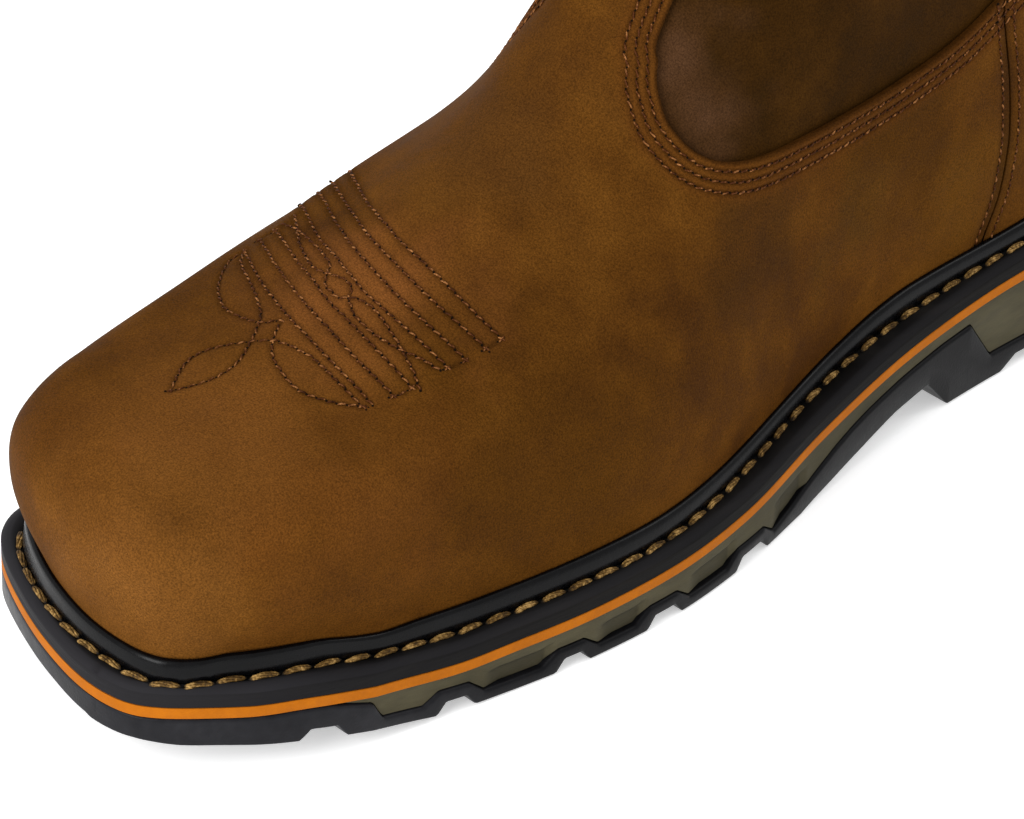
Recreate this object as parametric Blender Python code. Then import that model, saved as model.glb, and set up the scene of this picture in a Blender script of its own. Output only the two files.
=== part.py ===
"""Pull-on safety boot for the left foot, in metres: toe towards -Y, outer side +X, sole on Z = 0."""

from collections import namedtuple

import bmesh
import bpy
import numpy as np

MM = 0.001
LENGTH = 312.0
GAP = 0.3

TOE_REACH, TOE_POWER = 42.0, 2.4
HEEL_REACH, HEEL_POWER = 46.0, 2.3
STRIPE_THICK = 2.6
WELT_THICK = 4.9
WELT_CHAMFER = 0.9
MIDSOLE_INSET = 1.0
TREAD_BEVEL = 0.8
NOTCH_RISE = 2.9
NOTCH_RAMP = 1.8
CENTRE_LAG = 14.0
CENTRE_SHARE = 0.44
POCKET_DEPTH = 1.3
OVERLAY_THICK = 1.6
WALL_THICK = 2.0
INSOLE_THICK = 5.0
SEAM_WIDTH = 0.5
HEEL_ROUND, SHAFT_ROUND_STEP = 42.0, 5.0
SAG_RINGS, SWING_RINGS = 5.0, 8.0
SIDE_STEPS = 26
SOLE_STEPS = 42

# Plan of the sole: distance from the toe, half width, sideways swing of the centre line.
Plan = namedtuple("Plan", "from_toe half swing")
SOLE_PLAN = (
    Plan(0.0, 41.0, -1.25),
    Plan(14.0, 44.8, -2.45),
    Plan(40.0, 44.4, -0.15),
    Plan(70.0, 50.2, -0.65),
    Plan(98.0, 54.4, -0.45),
    Plan(125.0, 54.2, 0.65),
    Plan(145.0, 51.3, 1.25),
    Plan(175.0, 44.2, 1.75),
    Plan(205.0, 40.0, 1.35),
    Plan(235.0, 39.2, 0.35),
    Plan(265.0, 40.0, -0.25),
    Plan(312.0, 40.5, -0.25),
)

# Underside of the stripe layer, which gives the sole its toe spring and heel lift.
Level = namedtuple("Level", "from_toe height")
STRIPE_LINE = (
    Level(0.0, 15.4),
    Level(15.0, 15.5),
    Level(30.0, 14.9),
    Level(45.0, 13.0),
    Level(65.0, 10.8),
    Level(80.0, 10.3),
    Level(105.0, 10.4),
    Level(145.0, 12.0),
    Level(180.0, 16.0),
    Level(210.0, 19.6),
    Level(240.0, 22.2),
    Level(275.0, 23.2),
    Level(312.0, 23.6),
)

# Walking surface of the outsole: toe spring, flat forefoot, arch, heel breast, flat heel.
TREAD_LINE = (
    Level(0.0, 9.6),
    Level(15.0, 8.8),
    Level(27.0, 7.2),
    Level(37.0, 5.4),
    Level(58.0, 1.4),
    Level(70.0, 0.3),
    Level(78.0, 0.0),
    Level(168.0, 0.0),
    Level(180.0, 2.0),
    Level(192.0, 4.4),
    Level(204.0, 7.2),
    Level(216.0, 8.8),
    Level(223.5, 0.0),
    Level(312.0, 0.0),
)

# Upper edge of the outsole behind the toe bumper, before the notches lift it.
RIBBON_LINE = (
    Level(45.5, 6.6),
    Level(58.0, 4.6),
    Level(70.0, 3.6),
    Level(78.0, 3.4),
    Level(160.0, 3.6),
    Level(168.0, 4.8),
    Level(187.5, 8.2),
    Level(206.5, 11.4),
    Level(220.0, 16.2),
    Level(228.6, 17.6),
    Level(237.0, 7.6),
    Level(312.0, 7.4),
)
BUMPER_END, BUMPER_FALL, BUMPER_DROP = 33.0, 43.0, 1.6
MIDSOLE_START = 37.0

# Gaps between the lugs along the edge of the tread.
Notch = namedtuple("Notch", "start end")
NOTCHES = (
    Notch(27.0, 37.0),
    Notch(58.5, 68.0),
    Notch(88.0, 97.0),
    Notch(113.0, 123.5),
    Notch(142.0, 154.0),
    Notch(239.0, 250.0),
    Notch(268.0, 279.0),
)

# Rings of the upper from the feather line to the collar: the ends of each ring on the centre
# line, its half widths at the toe, ball, waist and heel, and the rounding of its front.
Ring = namedtuple("Ring", "front front_height back back_height toe ball waist heel nose power")
RINGS = (
    Ring(7.2, 26.2, 306.0, 34.4, 36.0, 47.4, 34.2, 34.3, 40.0, 2.60),
    Ring(4.6, 40.4, 308.5, 46.0, 40.5, 49.2, 35.3, 36.0, 42.0, 2.60),
    Ring(5.0, 55.2, 309.5, 58.0, 39.6, 47.6, 35.6, 36.3, 44.0, 2.50),
    Ring(15.8, 63.8, 309.0, 70.0, 36.0, 44.0, 35.4, 35.6, 47.5, 2.30),
    Ring(42.0, 67.0, 306.5, 83.0, 27.0, 39.5, 34.8, 34.4, 64.5, 2.15),
    Ring(78.0, 74.4, 303.0, 97.0, 22.0, 35.0, 34.0, 33.2, 84.5, 2.05),
    Ring(110.0, 89.6, 300.0, 111.0, 20.0, 32.0, 33.5, 32.8, 89.5, 2.00),
    Ring(136.0, 112.0, 298.0, 126.0, 20.0, 31.0, 34.0, 33.5, 80.0, 2.00),
    Ring(155.0, 133.0, 297.5, 142.0, 20.0, 32.0, 35.5, 35.5, 72.0, 2.00),
    Ring(165.0, 158.0, 298.5, 160.0, 20.0, 36.0, 39.5, 39.0, 68.0, 2.10),
    Ring(169.0, 190.0, 300.5, 190.0, 20.0, 40.0, 44.5, 44.0, 67.0, 2.20),
    Ring(169.0, 230.0, 301.5, 230.0, 20.0, 44.0, 48.5, 48.0, 67.0, 2.20),
    Ring(167.0, 272.0, 302.0, 272.0, 20.0, 46.0, 51.0, 50.5, 68.0, 2.20),
)
STATIONS = (35.0, 115.0, 190.0, 270.0)
FOOT_LEVELS = (0.0, 0.5, 1.0, 1.5, 2.0, 2.5, 3.0, 3.5, 4.0, 4.6, 5.2, 5.8, 6.4, 7.0, 7.6, 8.2, 8.8, 9.5)
SHAFT_LEVELS = (10.2, 11.0, 12.0)

# Top edge of the vamp and counter in side view: tongue, scoop at the side, rise to the heel.
Edge = namedtuple("Edge", "from_toe height")
VAMP_EDGE = (
    Edge(150.0, 163.0),
    Edge(163.0, 160.5),
    Edge(168.0, 154.0),
    Edge(167.0, 144.0),
    Edge(160.5, 132.0),
    Edge(152.0, 120.0),
    Edge(146.5, 110.0),
    Edge(144.8, 102.5),
    Edge(146.5, 95.5),
    Edge(152.0, 90.3),
    Edge(160.0, 88.0),
    Edge(175.0, 87.4),
    Edge(193.0, 88.3),
    Edge(211.0, 90.4),
    Edge(228.0, 94.6),
    Edge(245.0, 100.0),
    Edge(272.0, 108.0),
    Edge(330.0, 116.0),
)
SEAM_LINE = (
    Edge(238.5, -20.0),
    Edge(239.5, 34.0),
    Edge(242.4, 47.0),
    Edge(243.0, 62.0),
    Edge(241.8, 78.0),
    Edge(240.0, 98.2),
)

Finish = namedtuple("Finish", "colour roughness")
LEATHER = Finish((0.16, 0.068, 0.018), 0.62)
SHAFT_LEATHER = Finish((0.105, 0.045, 0.014), 0.62)
BLACK_RUBBER = Finish((0.012, 0.012, 0.013), 0.5)
OLIVE_FOAM = Finish((0.085, 0.08, 0.062), 0.75)
ORANGE_FOAM = Finish((0.62, 0.2, 0.025), 0.6)
WELT_BLACK = Finish((0.014, 0.014, 0.015), 0.4)
INSOLE_FABRIC = Finish((0.045, 0.043, 0.04), 0.9)


def column(table, name):
    """One named column of a table."""
    return np.array([getattr(row, name) for row in table])


def smooth(places, values, at):
    """Smooth curve through the values at the places, held past both ends."""
    places, values = np.asarray(places, float), np.asarray(values, float)
    at = np.clip(np.asarray(at, float), places[0], places[-1])
    step = np.diff(places)
    slope = np.diff(values) / step
    lean = np.concatenate([slope[:1], slope, slope[-1:]])
    span = np.concatenate([step[:1], step, step[-1:]])
    tangent = (lean[:-1] * span[1:] + lean[1:] * span[:-1]) / (span[:-1] + span[1:])
    k = np.clip(np.searchsorted(places, at, side="right") - 1, 0, len(step) - 1)
    f = (at - places[k]) / step[k]
    start = (1 + 2 * f) * (1 - f) ** 2 * values[k] + f * (1 - f) ** 2 * step[k] * tangent[k]
    end = f * f * (3 - 2 * f) * values[k + 1] - f * f * (1 - f) * step[k] * tangent[k + 1]
    return start + end


def line(table, at):
    """Straight runs through a table of levels."""
    return np.interp(at, column(table, "from_toe"), column(table, "height"))


def end_round(depth, reach, power):
    """Share of the full width at a depth behind a rounded end."""
    rest = np.clip(1 - np.asarray(depth, float) / reach, 0, 1)
    return (1 - rest**power) ** (1 / power)


def stripe_under(from_toe):
    """Height of the underside of the stripe layer."""
    return smooth(column(STRIPE_LINE, "from_toe"), column(STRIPE_LINE, "height"), from_toe)


def welt_floor(from_toe):
    """Height on which the welt, the upper and the insole sit."""
    return stripe_under(from_toe) + STRIPE_THICK + GAP


def swing(from_toe):
    """Sideways place of the centre line."""
    return smooth(column(SOLE_PLAN, "from_toe"), column(SOLE_PLAN, "swing"), from_toe)


def sole_half(from_toe, inset):
    """Half width of the sole's outline, drawn in by an inset."""
    full = smooth(column(SOLE_PLAN, "from_toe"), column(SOLE_PLAN, "half"), from_toe) - inset
    toe = end_round(from_toe - inset, TOE_REACH, TOE_POWER)
    heel = end_round(LENGTH - inset - from_toe, HEEL_REACH, HEEL_POWER)
    return full * toe * heel


def sole_edge(share, side, inset):
    """Points of the sole's outline at shares of its length, as side, from_toe."""
    from_toe = inset + (LENGTH - 2 * inset) * np.clip(share, 0.0006, 0.9994)
    return swing(from_toe) + side * sole_half(from_toe, inset), from_toe


def ring_points(level, share, side, outset=0.0):
    """Points of one ring of the upper from its back (share 0) to its front (share 1)."""
    ring = Ring(*(float(smooth(range(len(RINGS)), column(RINGS, name), level)) for name in Ring._fields))
    front, back = ring.front - outset, ring.back + outset
    from_toe = back + (front - back) * share
    height = ring.back_height + (ring.front_height - ring.back_height) * share
    chord = stripe_under(back) + (stripe_under(front) - stripe_under(back)) * share
    height = height + (stripe_under(from_toe) - chord) * max(0.0, 1 - level / SAG_RINGS)
    full = smooth(STATIONS, (ring.toe, ring.ball, ring.waist, ring.heel), from_toe) + outset
    heel_round = HEEL_ROUND + SHAFT_ROUND_STEP * np.clip(level - 7, 0, 5)
    half = full * end_round(from_toe - front, ring.nose, ring.power)
    half = half * end_round(back - from_toe, heel_round, HEEL_POWER)
    bend = swing(from_toe) * max(0.0, 1 - level / SWING_RINGS)
    return np.stack([bend + side * half, from_toe, height], -1)


def spaced(steps):
    """Shares from 0 to 1, closer together at both ends."""
    return (1 - np.cos(np.linspace(0, np.pi, steps + 1))) / 2


def ring_loop(level, outset=0.0):
    """Closed ring: outer side from back to front, inner side back again."""
    share = spaced(SIDE_STEPS)
    outer = ring_points(level, share, 1, outset)
    inner = ring_points(level, share[-2:0:-1], -1, outset)
    return np.concatenate([outer, inner])


def upper_form():
    """Grid of the upper's outer form, with a skirt down behind the welt as its first row."""
    rows = [ring_loop(level) for level in FOOT_LEVELS + SHAFT_LEVELS]
    skirt = rows[0].copy()
    skirt[:, 2] = welt_floor(skirt[:, 1])
    return np.stack([skirt] + rows)


def drawn_in(grid, depth):
    """The grid moved inwards along its own normals."""
    along = np.roll(grid, -1, axis=1) - np.roll(grid, 1, axis=1)
    normal = np.cross(np.gradient(grid, axis=0), along)
    normal /= np.linalg.norm(normal, axis=2)[..., None]
    normal[0, :, 2] = 0.0
    moved = grid - depth * normal
    moved[0, :, 2] = grid[0, :, 2]
    moved[-1, :, 2] = grid[-1, :, 2]
    return moved


def add_piece(name, points, faces, finish):
    """Adds one solid from points as side, from_toe, height in millimetres."""
    points = (np.asarray(points, float) - (0.0, LENGTH / 2, 0.0)) * MM
    mesh = bpy.data.meshes.new(name)
    mesh.from_pydata(points.tolist(), [], faces)
    shape = bmesh.new()
    shape.from_mesh(mesh)
    bmesh.ops.recalc_face_normals(shape, faces=shape.faces)
    shape.to_mesh(mesh)
    shape.free()
    material = bpy.data.materials.new(name)
    material.use_nodes = True
    shader = material.node_tree.nodes["Principled BSDF"]
    shader.inputs["Base Color"].default_value = (*finish.colour, 1.0)
    shader.inputs["Roughness"].default_value = finish.roughness
    shader.inputs["Metallic"].default_value = 0.0
    mesh.materials.append(material)
    piece = bpy.data.objects.new(name, mesh)
    bpy.context.collection.objects.link(piece)
    return piece


def loop_faces(loops, count, closed):
    """Faces between loops of equal count; the ends are capped unless the loops close on themselves."""
    faces = []
    for i in range(loops if closed else loops - 1):
        after = (i + 1) % loops
        for j in range(count):
            turn = (j + 1) % count
            faces.append((i * count + j, i * count + turn, after * count + turn, after * count + j))
    if not closed:
        faces.append(tuple(range(count)))
        faces.append(tuple(range((loops - 1) * count, loops * count)))
    return faces


def add_shell(name, outer, inner, finish):
    """Hollow solid between two closed grids, open at its first and last rows."""
    rows, around = outer.shape[:2]
    number = np.arange(2 * rows * around).reshape(2, rows, around)
    ahead = np.roll(number, -1, axis=2)
    faces = []
    for skin in (0, 1):
        low, low_ahead = number[skin, :-1].ravel(), ahead[skin, :-1].ravel()
        high, high_ahead = number[skin, 1:].ravel(), ahead[skin, 1:].ravel()
        faces += list(zip(low.tolist(), low_ahead.tolist(), high_ahead.tolist()))
        faces += list(zip(low.tolist(), high_ahead.tolist(), high.tolist()))
    for row in (0, rows - 1):
        rim = (number[0, row], ahead[0, row], ahead[1, row], number[1, row])
        faces += list(zip(*(edge.tolist() for edge in rim)))
    return add_piece(name, np.concatenate([outer, inner]).reshape(-1, 3), faces, finish)


def add_slices(name, slices, finish):
    """Solid through a row of slices with equal numbers of points."""
    slices = np.asarray(slices)
    faces = loop_faces(len(slices), slices.shape[1], False)
    return add_piece(name, slices.reshape(-1, 3), faces, finish)


def notch_lift(from_toe, widen):
    """Share from 0 on a lug to 1 in a notch."""
    lift = np.zeros_like(from_toe)
    for notch in NOTCHES:
        start, end = notch.start - widen, notch.end + widen
        ramp = np.minimum(from_toe - start, end - from_toe) / NOTCH_RAMP
        lift = np.maximum(lift, np.clip(ramp, 0, 1))
    return lift


def sole_stations(start):
    """Places along the sole: rounded ends, plus every corner of the side and tread lines."""
    ramps = np.array([(n.start, n.start + NOTCH_RAMP, n.end - NOTCH_RAMP, n.end) for n in NOTCHES])
    corners = [ramps.ravel(), ramps.ravel()[4:20] + CENTRE_LAG]
    corners += [column(TREAD_LINE, "from_toe")[2:-1], column(RIBBON_LINE, "from_toe")[:-1]]
    corners += [(BUMPER_END, MIDSOLE_START, BUMPER_FALL)]
    ends = spaced(SOLE_STEPS) * LENGTH
    ends = ends[(ends < 40) | (ends > LENGTH - 50)]
    places = np.unique(np.round(np.concatenate(corners + [ends]), 2))
    places = places[(places >= start) & (places <= LENGTH)]
    kept = [places[0]]
    for place in places[1:]:
        if place - kept[-1] > 0.7:
            kept.append(place)
    return np.array(kept[:-1] + [LENGTH])


def outsole_top(from_toe):
    """Upper side of the outsole, up to the stripe at the toe bumper and along the ribbon behind it."""
    under = stripe_under(from_toe) - GAP
    fall = np.clip((from_toe - BUMPER_END) / (BUMPER_FALL - BUMPER_END), 0, 1)
    bumper = under - BUMPER_DROP * fall
    ribbon = line(RIBBON_LINE, from_toe) + NOTCH_RISE * notch_lift(from_toe, 0.0)
    return np.where(from_toe < BUMPER_FALL + 0.1, bumper, np.minimum(ribbon, under - BUMPER_DROP))


def sole_slice_edges(from_toe, inset):
    """Outer and inner edge of the sole at one place."""
    at = np.clip(from_toe, inset + 0.2, LENGTH - inset - 0.2)
    half = sole_half(at, inset)
    return swing(at) + half, swing(at) - half, np.clip(from_toe, inset, LENGTH - inset)


def build_outsole():
    """Black rubber outsole with toe bumper, edge lugs, centre lugs, arch and heel."""
    slices = []
    for place in sole_stations(0.0):
        outer, inner, at = sole_slice_edges(place, 0.0)
        spot = np.array([place])
        tread = float(line(TREAD_LINE, place))
        edge = tread + NOTCH_RISE * float(notch_lift(spot, 0.0)[0])
        lag = spot - CENTRE_LAG if 40 < place < 170 else spot
        centre = tread + NOTCH_RISE * float(notch_lift(lag, 0.0)[0])
        top = float(outsole_top(spot)[0])
        mid, half = (outer + inner) / 2, (outer - inner) / 2
        bevel = min(TREAD_BEVEL, 0.3 * half)
        across = (half, half, half - bevel, half * CENTRE_SHARE + 2.5, half * CENTRE_SHARE)
        low = (top, edge + TREAD_BEVEL, edge, edge, centre)
        right = [(mid + a, at, z) for a, z in zip(across, low)]
        left = [(mid - a, at, z) for a, z in zip(across[::-1], low[::-1])]
        slices.append(right + left)
    add_slices("outsole", slices, BLACK_RUBBER)


def pocket(from_toe):
    """Depth of the hollow in the midsole's side above each lug."""
    spot = np.array([from_toe])
    on_lug = 1 - float(notch_lift(spot, 1.0)[0])
    in_run = 1.0 if 66 < from_toe < 160 or from_toe > 243 else 0.0
    return POCKET_DEPTH * on_lug * in_run


def build_midsole():
    """Olive midsole between outsole and stripe, its lower side hollowed above the lugs."""
    slices = []
    for place in sole_stations(MIDSOLE_START):
        top = float(stripe_under(place)) - GAP
        low = float(outsole_top(np.array([place]))[0]) + GAP
        row = []
        for side in (1, -1):
            depths = (0.0, 0.0, pocket(place), pocket(place))
            heights = (top, top - 0.35 * (top - low), top - 0.5 * (top - low), low)
            points = []
            for depth, height in zip(depths, heights):
                outer, inner, at = sole_slice_edges(place, MIDSOLE_INSET)
                edge = outer - depth if side > 0 else inner + depth
                points.append((edge, at, height))
            row += points if side > 0 else points[::-1]
        slices.append(row)
    slices = [s for k, s in enumerate(slices) if k == 0 or s[0][1] - slices[k - 1][0][1] > 0.05]
    add_slices("midsole", slices, OLIVE_FOAM)


def build_stripe():
    """Thin orange layer under the welt."""
    slices = []
    for place in spaced(SIDE_STEPS) * LENGTH:
        outer, inner, at = sole_slice_edges(place, 0.0)
        low = float(stripe_under(place))
        high = low + STRIPE_THICK
        slices.append([(outer, at, high), (outer, at, low), (inner, at, low), (inner, at, high)])
    add_slices("midsole_stripe", slices, ORANGE_FOAM)


def build_welt():
    """Storm welt all round: flat ledge for the stitches and a rounded bead against the upper."""
    share = spaced(SIDE_STEPS)
    rim = ((0.0, 0.0), (0.0, WELT_THICK - WELT_CHAMFER), (WELT_CHAMFER, WELT_THICK))
    bead = ((2.4, WELT_THICK), (1.9, 7.0), (1.2, 7.7), (0.35, 7.8), (0.35, 0.0))
    sections = []
    for inset, rise in rim:
        loops = []
        for side, shares in ((1, share[::-1]), (-1, share[1:-1])):
            across, from_toe = sole_edge(shares, side, inset)
            loops.append(np.stack([across, from_toe, welt_floor(from_toe) + rise], -1))
        sections.append(np.concatenate(loops))
    for outset, rise in bead:
        loops = []
        for side, shares in ((1, share), (-1, share[-2:0:-1])):
            points = ring_points(0.0, shares, side, outset)
            points[:, 2] = welt_floor(points[:, 1]) + rise
            loops.append(points)
        sections.append(np.concatenate(loops))
    grid = np.stack(sections, axis=1)
    add_piece("welt", grid.reshape(-1, 3), loop_faces(len(grid), len(sections), True), WELT_BLACK)


def build_insole():
    """Flat cushion inside the upper, on the sole."""
    inset = OVERLAY_THICK + GAP + WALL_THICK + 0.5
    slices = []
    for share in np.clip(spaced(SIDE_STEPS), 0.0015, 0.9985):
        shares = np.array([share])
        outer = ring_points(0.0, shares, 1, -inset)[0]
        inner = ring_points(0.0, shares, -1, -inset)[0]
        low = float(welt_floor(outer[1]))
        high = low + INSOLE_THICK
        corners = ((outer, high), (outer, low), (inner, low), (inner, high))
        slices.append([(p[0], p[1], z) for p, z in corners])
    add_slices("insole", slices, INSOLE_FABRIC)


def add_side_cutter(name, outline):
    """Hidden prism across the boot with the given outline in side view."""
    count = len(outline)
    points = [(x, t, z) for x in (-90.0, 90.0) for t, z in outline]
    faces = loop_faces(2, count, False)
    cutter = add_piece(name, points, faces, BLACK_RUBBER)
    cutter.hide_render = True
    cutter.display_type = "WIRE"
    return cutter


def edge_curve(steps):
    """Smooth side-view curve along the top edge of the vamp and counter."""
    place = np.arange(len(VAMP_EDGE))
    fine = np.linspace(0, len(VAMP_EDGE) - 1, steps)
    along = smooth(place, column(VAMP_EDGE, "from_toe"), fine)
    height = smooth(place, column(VAMP_EDGE, "height"), fine)
    return np.stack([along, height], -1)


def build_overlays():
    """Vamp and counter, cut from one layer over the upper by the scoop edge and the heel seam."""
    rows = len(FOOT_LEVELS) + 1
    form = upper_form()
    inner = drawn_in(form, OVERLAY_THICK)
    edge = edge_curve(52)
    heights = np.linspace(SEAM_LINE[0].height, SEAM_LINE[-1].height, 12)
    seam = np.stack([smooth(column(SEAM_LINE, "height"), column(SEAM_LINE, "from_toe"), heights), heights], -1)
    ahead = edge[edge[:, 0] < seam[-1, 0] - 3]
    behind = edge[edge[:, 0] > seam[-1, 0] + 3]
    meet = np.array([[seam[-1, 0], np.interp(seam[-1, 0], edge[30:, 0], edge[30:, 1])]])
    half = np.array([SEAM_WIDTH / 2, 0.0])
    front = np.concatenate([[(-20.0, -20.0), (-20.0, 163.0)], ahead, meet - half, seam[::-1][1:] - half])
    back = np.concatenate([seam[:-1] + half, meet + half, behind, [(330.0, -20.0)]])
    for name, outline in (("vamp", front), ("counter", back)):
        piece = add_shell(name, form[:rows], inner[:rows], LEATHER)
        cut = piece.modifiers.new("outline", "BOOLEAN")
        cut.operation = "INTERSECT"
        cut.solver = "EXACT"
        cut.object = add_side_cutter(name + "_outline", outline)


def build_upper():
    """Hollow upper: foot and shaft in one wall, open at the collar and over the sole."""
    form = upper_form()
    outer = drawn_in(form, OVERLAY_THICK + GAP)
    inner = drawn_in(form, OVERLAY_THICK + GAP + WALL_THICK)
    add_shell("upper", outer, inner, SHAFT_LEATHER)


def main():
    """Clears the scene and builds every piece."""
    for old in list(bpy.data.objects):
        bpy.data.objects.remove(old)
    build_outsole()
    build_midsole()
    build_stripe()
    build_welt()
    build_insole()
    build_upper()
    build_overlays()


main()
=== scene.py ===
"""Looks of a left pull-on safety boot: oiled leather upper, stitched storm welt, layered lugged sole.

Lengths are in millimetres until a mesh is made. Places are (across, from_toe, height): across grows
towards the outer side of the left foot, from_toe runs from the toe tip to the heel, and height is
above the ground.
"""

import logging
import math
from dataclasses import dataclass, fields
from enum import Enum
from typing import Any, Sequence

import bmesh
import bpy
import numpy as np
from mathutils import Matrix, Vector
from mathutils.bvhtree import BVHTree
from mathutils.kdtree import KDTree


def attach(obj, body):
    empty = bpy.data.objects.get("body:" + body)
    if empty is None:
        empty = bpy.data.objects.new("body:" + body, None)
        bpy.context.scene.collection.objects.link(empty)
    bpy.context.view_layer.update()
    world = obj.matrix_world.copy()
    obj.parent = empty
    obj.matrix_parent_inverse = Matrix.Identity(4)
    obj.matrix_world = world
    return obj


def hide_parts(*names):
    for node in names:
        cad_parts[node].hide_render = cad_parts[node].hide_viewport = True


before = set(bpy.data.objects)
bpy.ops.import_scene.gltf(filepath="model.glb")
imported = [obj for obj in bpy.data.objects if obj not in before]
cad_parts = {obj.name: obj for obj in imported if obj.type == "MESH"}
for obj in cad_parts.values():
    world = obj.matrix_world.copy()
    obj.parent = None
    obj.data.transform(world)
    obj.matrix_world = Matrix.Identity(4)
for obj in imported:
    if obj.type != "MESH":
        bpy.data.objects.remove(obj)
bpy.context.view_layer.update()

LOG = logging.getLogger("boot")
MM = 0.001
Places = tuple[tuple[float, float], ...]


class Side(Enum):
    """Which side of the boot a half of a piece is on."""

    OUTER = 1.0
    INNER = -1.0


class Facing(Enum):
    """The view in which a soft crease is drawn."""

    TOP = (0, 1)
    FLANK = (1, 2)


def hermite(places: Sequence[float], values: Sequence[float], at: Any) -> np.ndarray:
    """Smooth curve through values at places, held past both ends.

    Args:
        places: Increasing places of the values.
        values: One value for each place.
        at: Where the curve is read.

    Returns:
        The curve's value at each place asked for.
    """
    at = np.asarray(at, float)
    knots = np.broadcast_to(np.asarray(values, float), at.shape + (len(places),))
    return hermite_rows(places, knots, at)


def hermite_rows(places: Sequence[float], knots: np.ndarray, at: np.ndarray) -> np.ndarray:
    """Smooth curves, one for each point, each through its own values.

    Args:
        places: Increasing places shared by all curves.
        knots: Values, with the last axis along the places.
        at: Where each point's curve is read.

    Returns:
        One value for each point.
    """
    places = np.asarray(places, float)
    at = np.clip(at, places[0], places[-1])
    step = np.diff(places)
    slope = np.diff(knots, axis=-1) / step
    lean = np.concatenate([slope[..., :1], slope, slope[..., -1:]], -1)
    span = np.concatenate([step[:1], step, step[-1:]])
    tangent = (lean[..., :-1] * span[1:] + lean[..., 1:] * span[:-1]) / (span[:-1] + span[1:])
    k = np.clip(np.searchsorted(places, at, side="right") - 1, 0, len(step) - 1)
    f = (at - places[k]) / step[k]

    def pick(array: np.ndarray, index: np.ndarray) -> np.ndarray:
        """Values of the array at each point's own index."""
        return np.take_along_axis(array, index[..., None], -1)[..., 0]

    low = pick(knots, k) * (1 + 2 * f) + pick(tangent, k) * f * step[k]
    high = pick(knots, k + 1) * (3 - 2 * f) - pick(tangent, k + 1) * (1 - f) * step[k]
    return low * (1 - f) ** 2 + high * f * f


def end_round(depth: np.ndarray, reach: Any, power: Any) -> np.ndarray:
    """Share of the full width at a depth behind a rounded end."""
    rest = np.clip(1 - depth / reach, 0, 1)
    return (1 - rest**power) ** (1 / power)


def soft_step(value: np.ndarray) -> np.ndarray:
    """Smooth rise from 0 to 1 over the unit run."""
    value = np.clip(value, 0, 1)
    return value * value * (3 - 2 * value)


def spaced(steps: int) -> np.ndarray:
    """Shares from 0 to 1, closer together at both ends."""
    return (1 - np.cos(np.linspace(0, np.pi, steps + 1))) / 2


def linear(code: str) -> tuple[float, float, float, float]:
    """Linear colour of an sRGB hex value.

    Args:
        code: Colour as # and six hex digits.

    Returns:
        Red, green, blue and full alpha.
    """
    parts = [int(code[i : i + 2], 16) / 255 for i in (1, 3, 5)]
    lit = [p / 12.92 if p <= 0.04045 else ((p + 0.055) / 1.055) ** 2.4 for p in parts]
    return (lit[0], lit[1], lit[2], 1.0)


def put(tree: Any, kind: str, links: dict | None = None, **settings: Any) -> Any:
    """Adds a node with its settings and links.

    Args:
        tree: Node tree that takes the node.
        kind: Blender's name for the kind of node.
        links: Input name or number to a value or to another node's output.
        **settings: Properties of the node itself.

    Returns:
        The new node.
    """
    node = tree.nodes.new(kind)
    for name, value in settings.items():
        setattr(node, name, value)
    for key, value in (links or {}).items():
        if isinstance(value, bpy.types.NodeSocket):
            tree.links.new(value, node.inputs[key])
        else:
            node.inputs[key].default_value = value
    return node


@dataclass(frozen=True)
class Curve:
    """Values along a run, as rows of a place and the value there."""

    rows: Places

    def smooth(self, at: Any) -> np.ndarray:
        """Smooth curve through the rows."""
        return hermite(*zip(*self.rows), at)

    def straight(self, at: Any) -> np.ndarray:
        """Straight runs through the rows."""
        return np.interp(at, *zip(*self.rows))


@dataclass(frozen=True)
class Ring:
    """One ring of the upper, from its front to its back."""

    front: float
    front_height: float
    back: float
    back_height: float
    toe: float
    ball: float
    waist: float
    heel: float
    nose: float
    power: float


@dataclass(frozen=True)
class Notch:
    """Gap between two lugs at the edge of the tread."""

    start: float
    end: float
    ramp: float = 2.2


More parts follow.
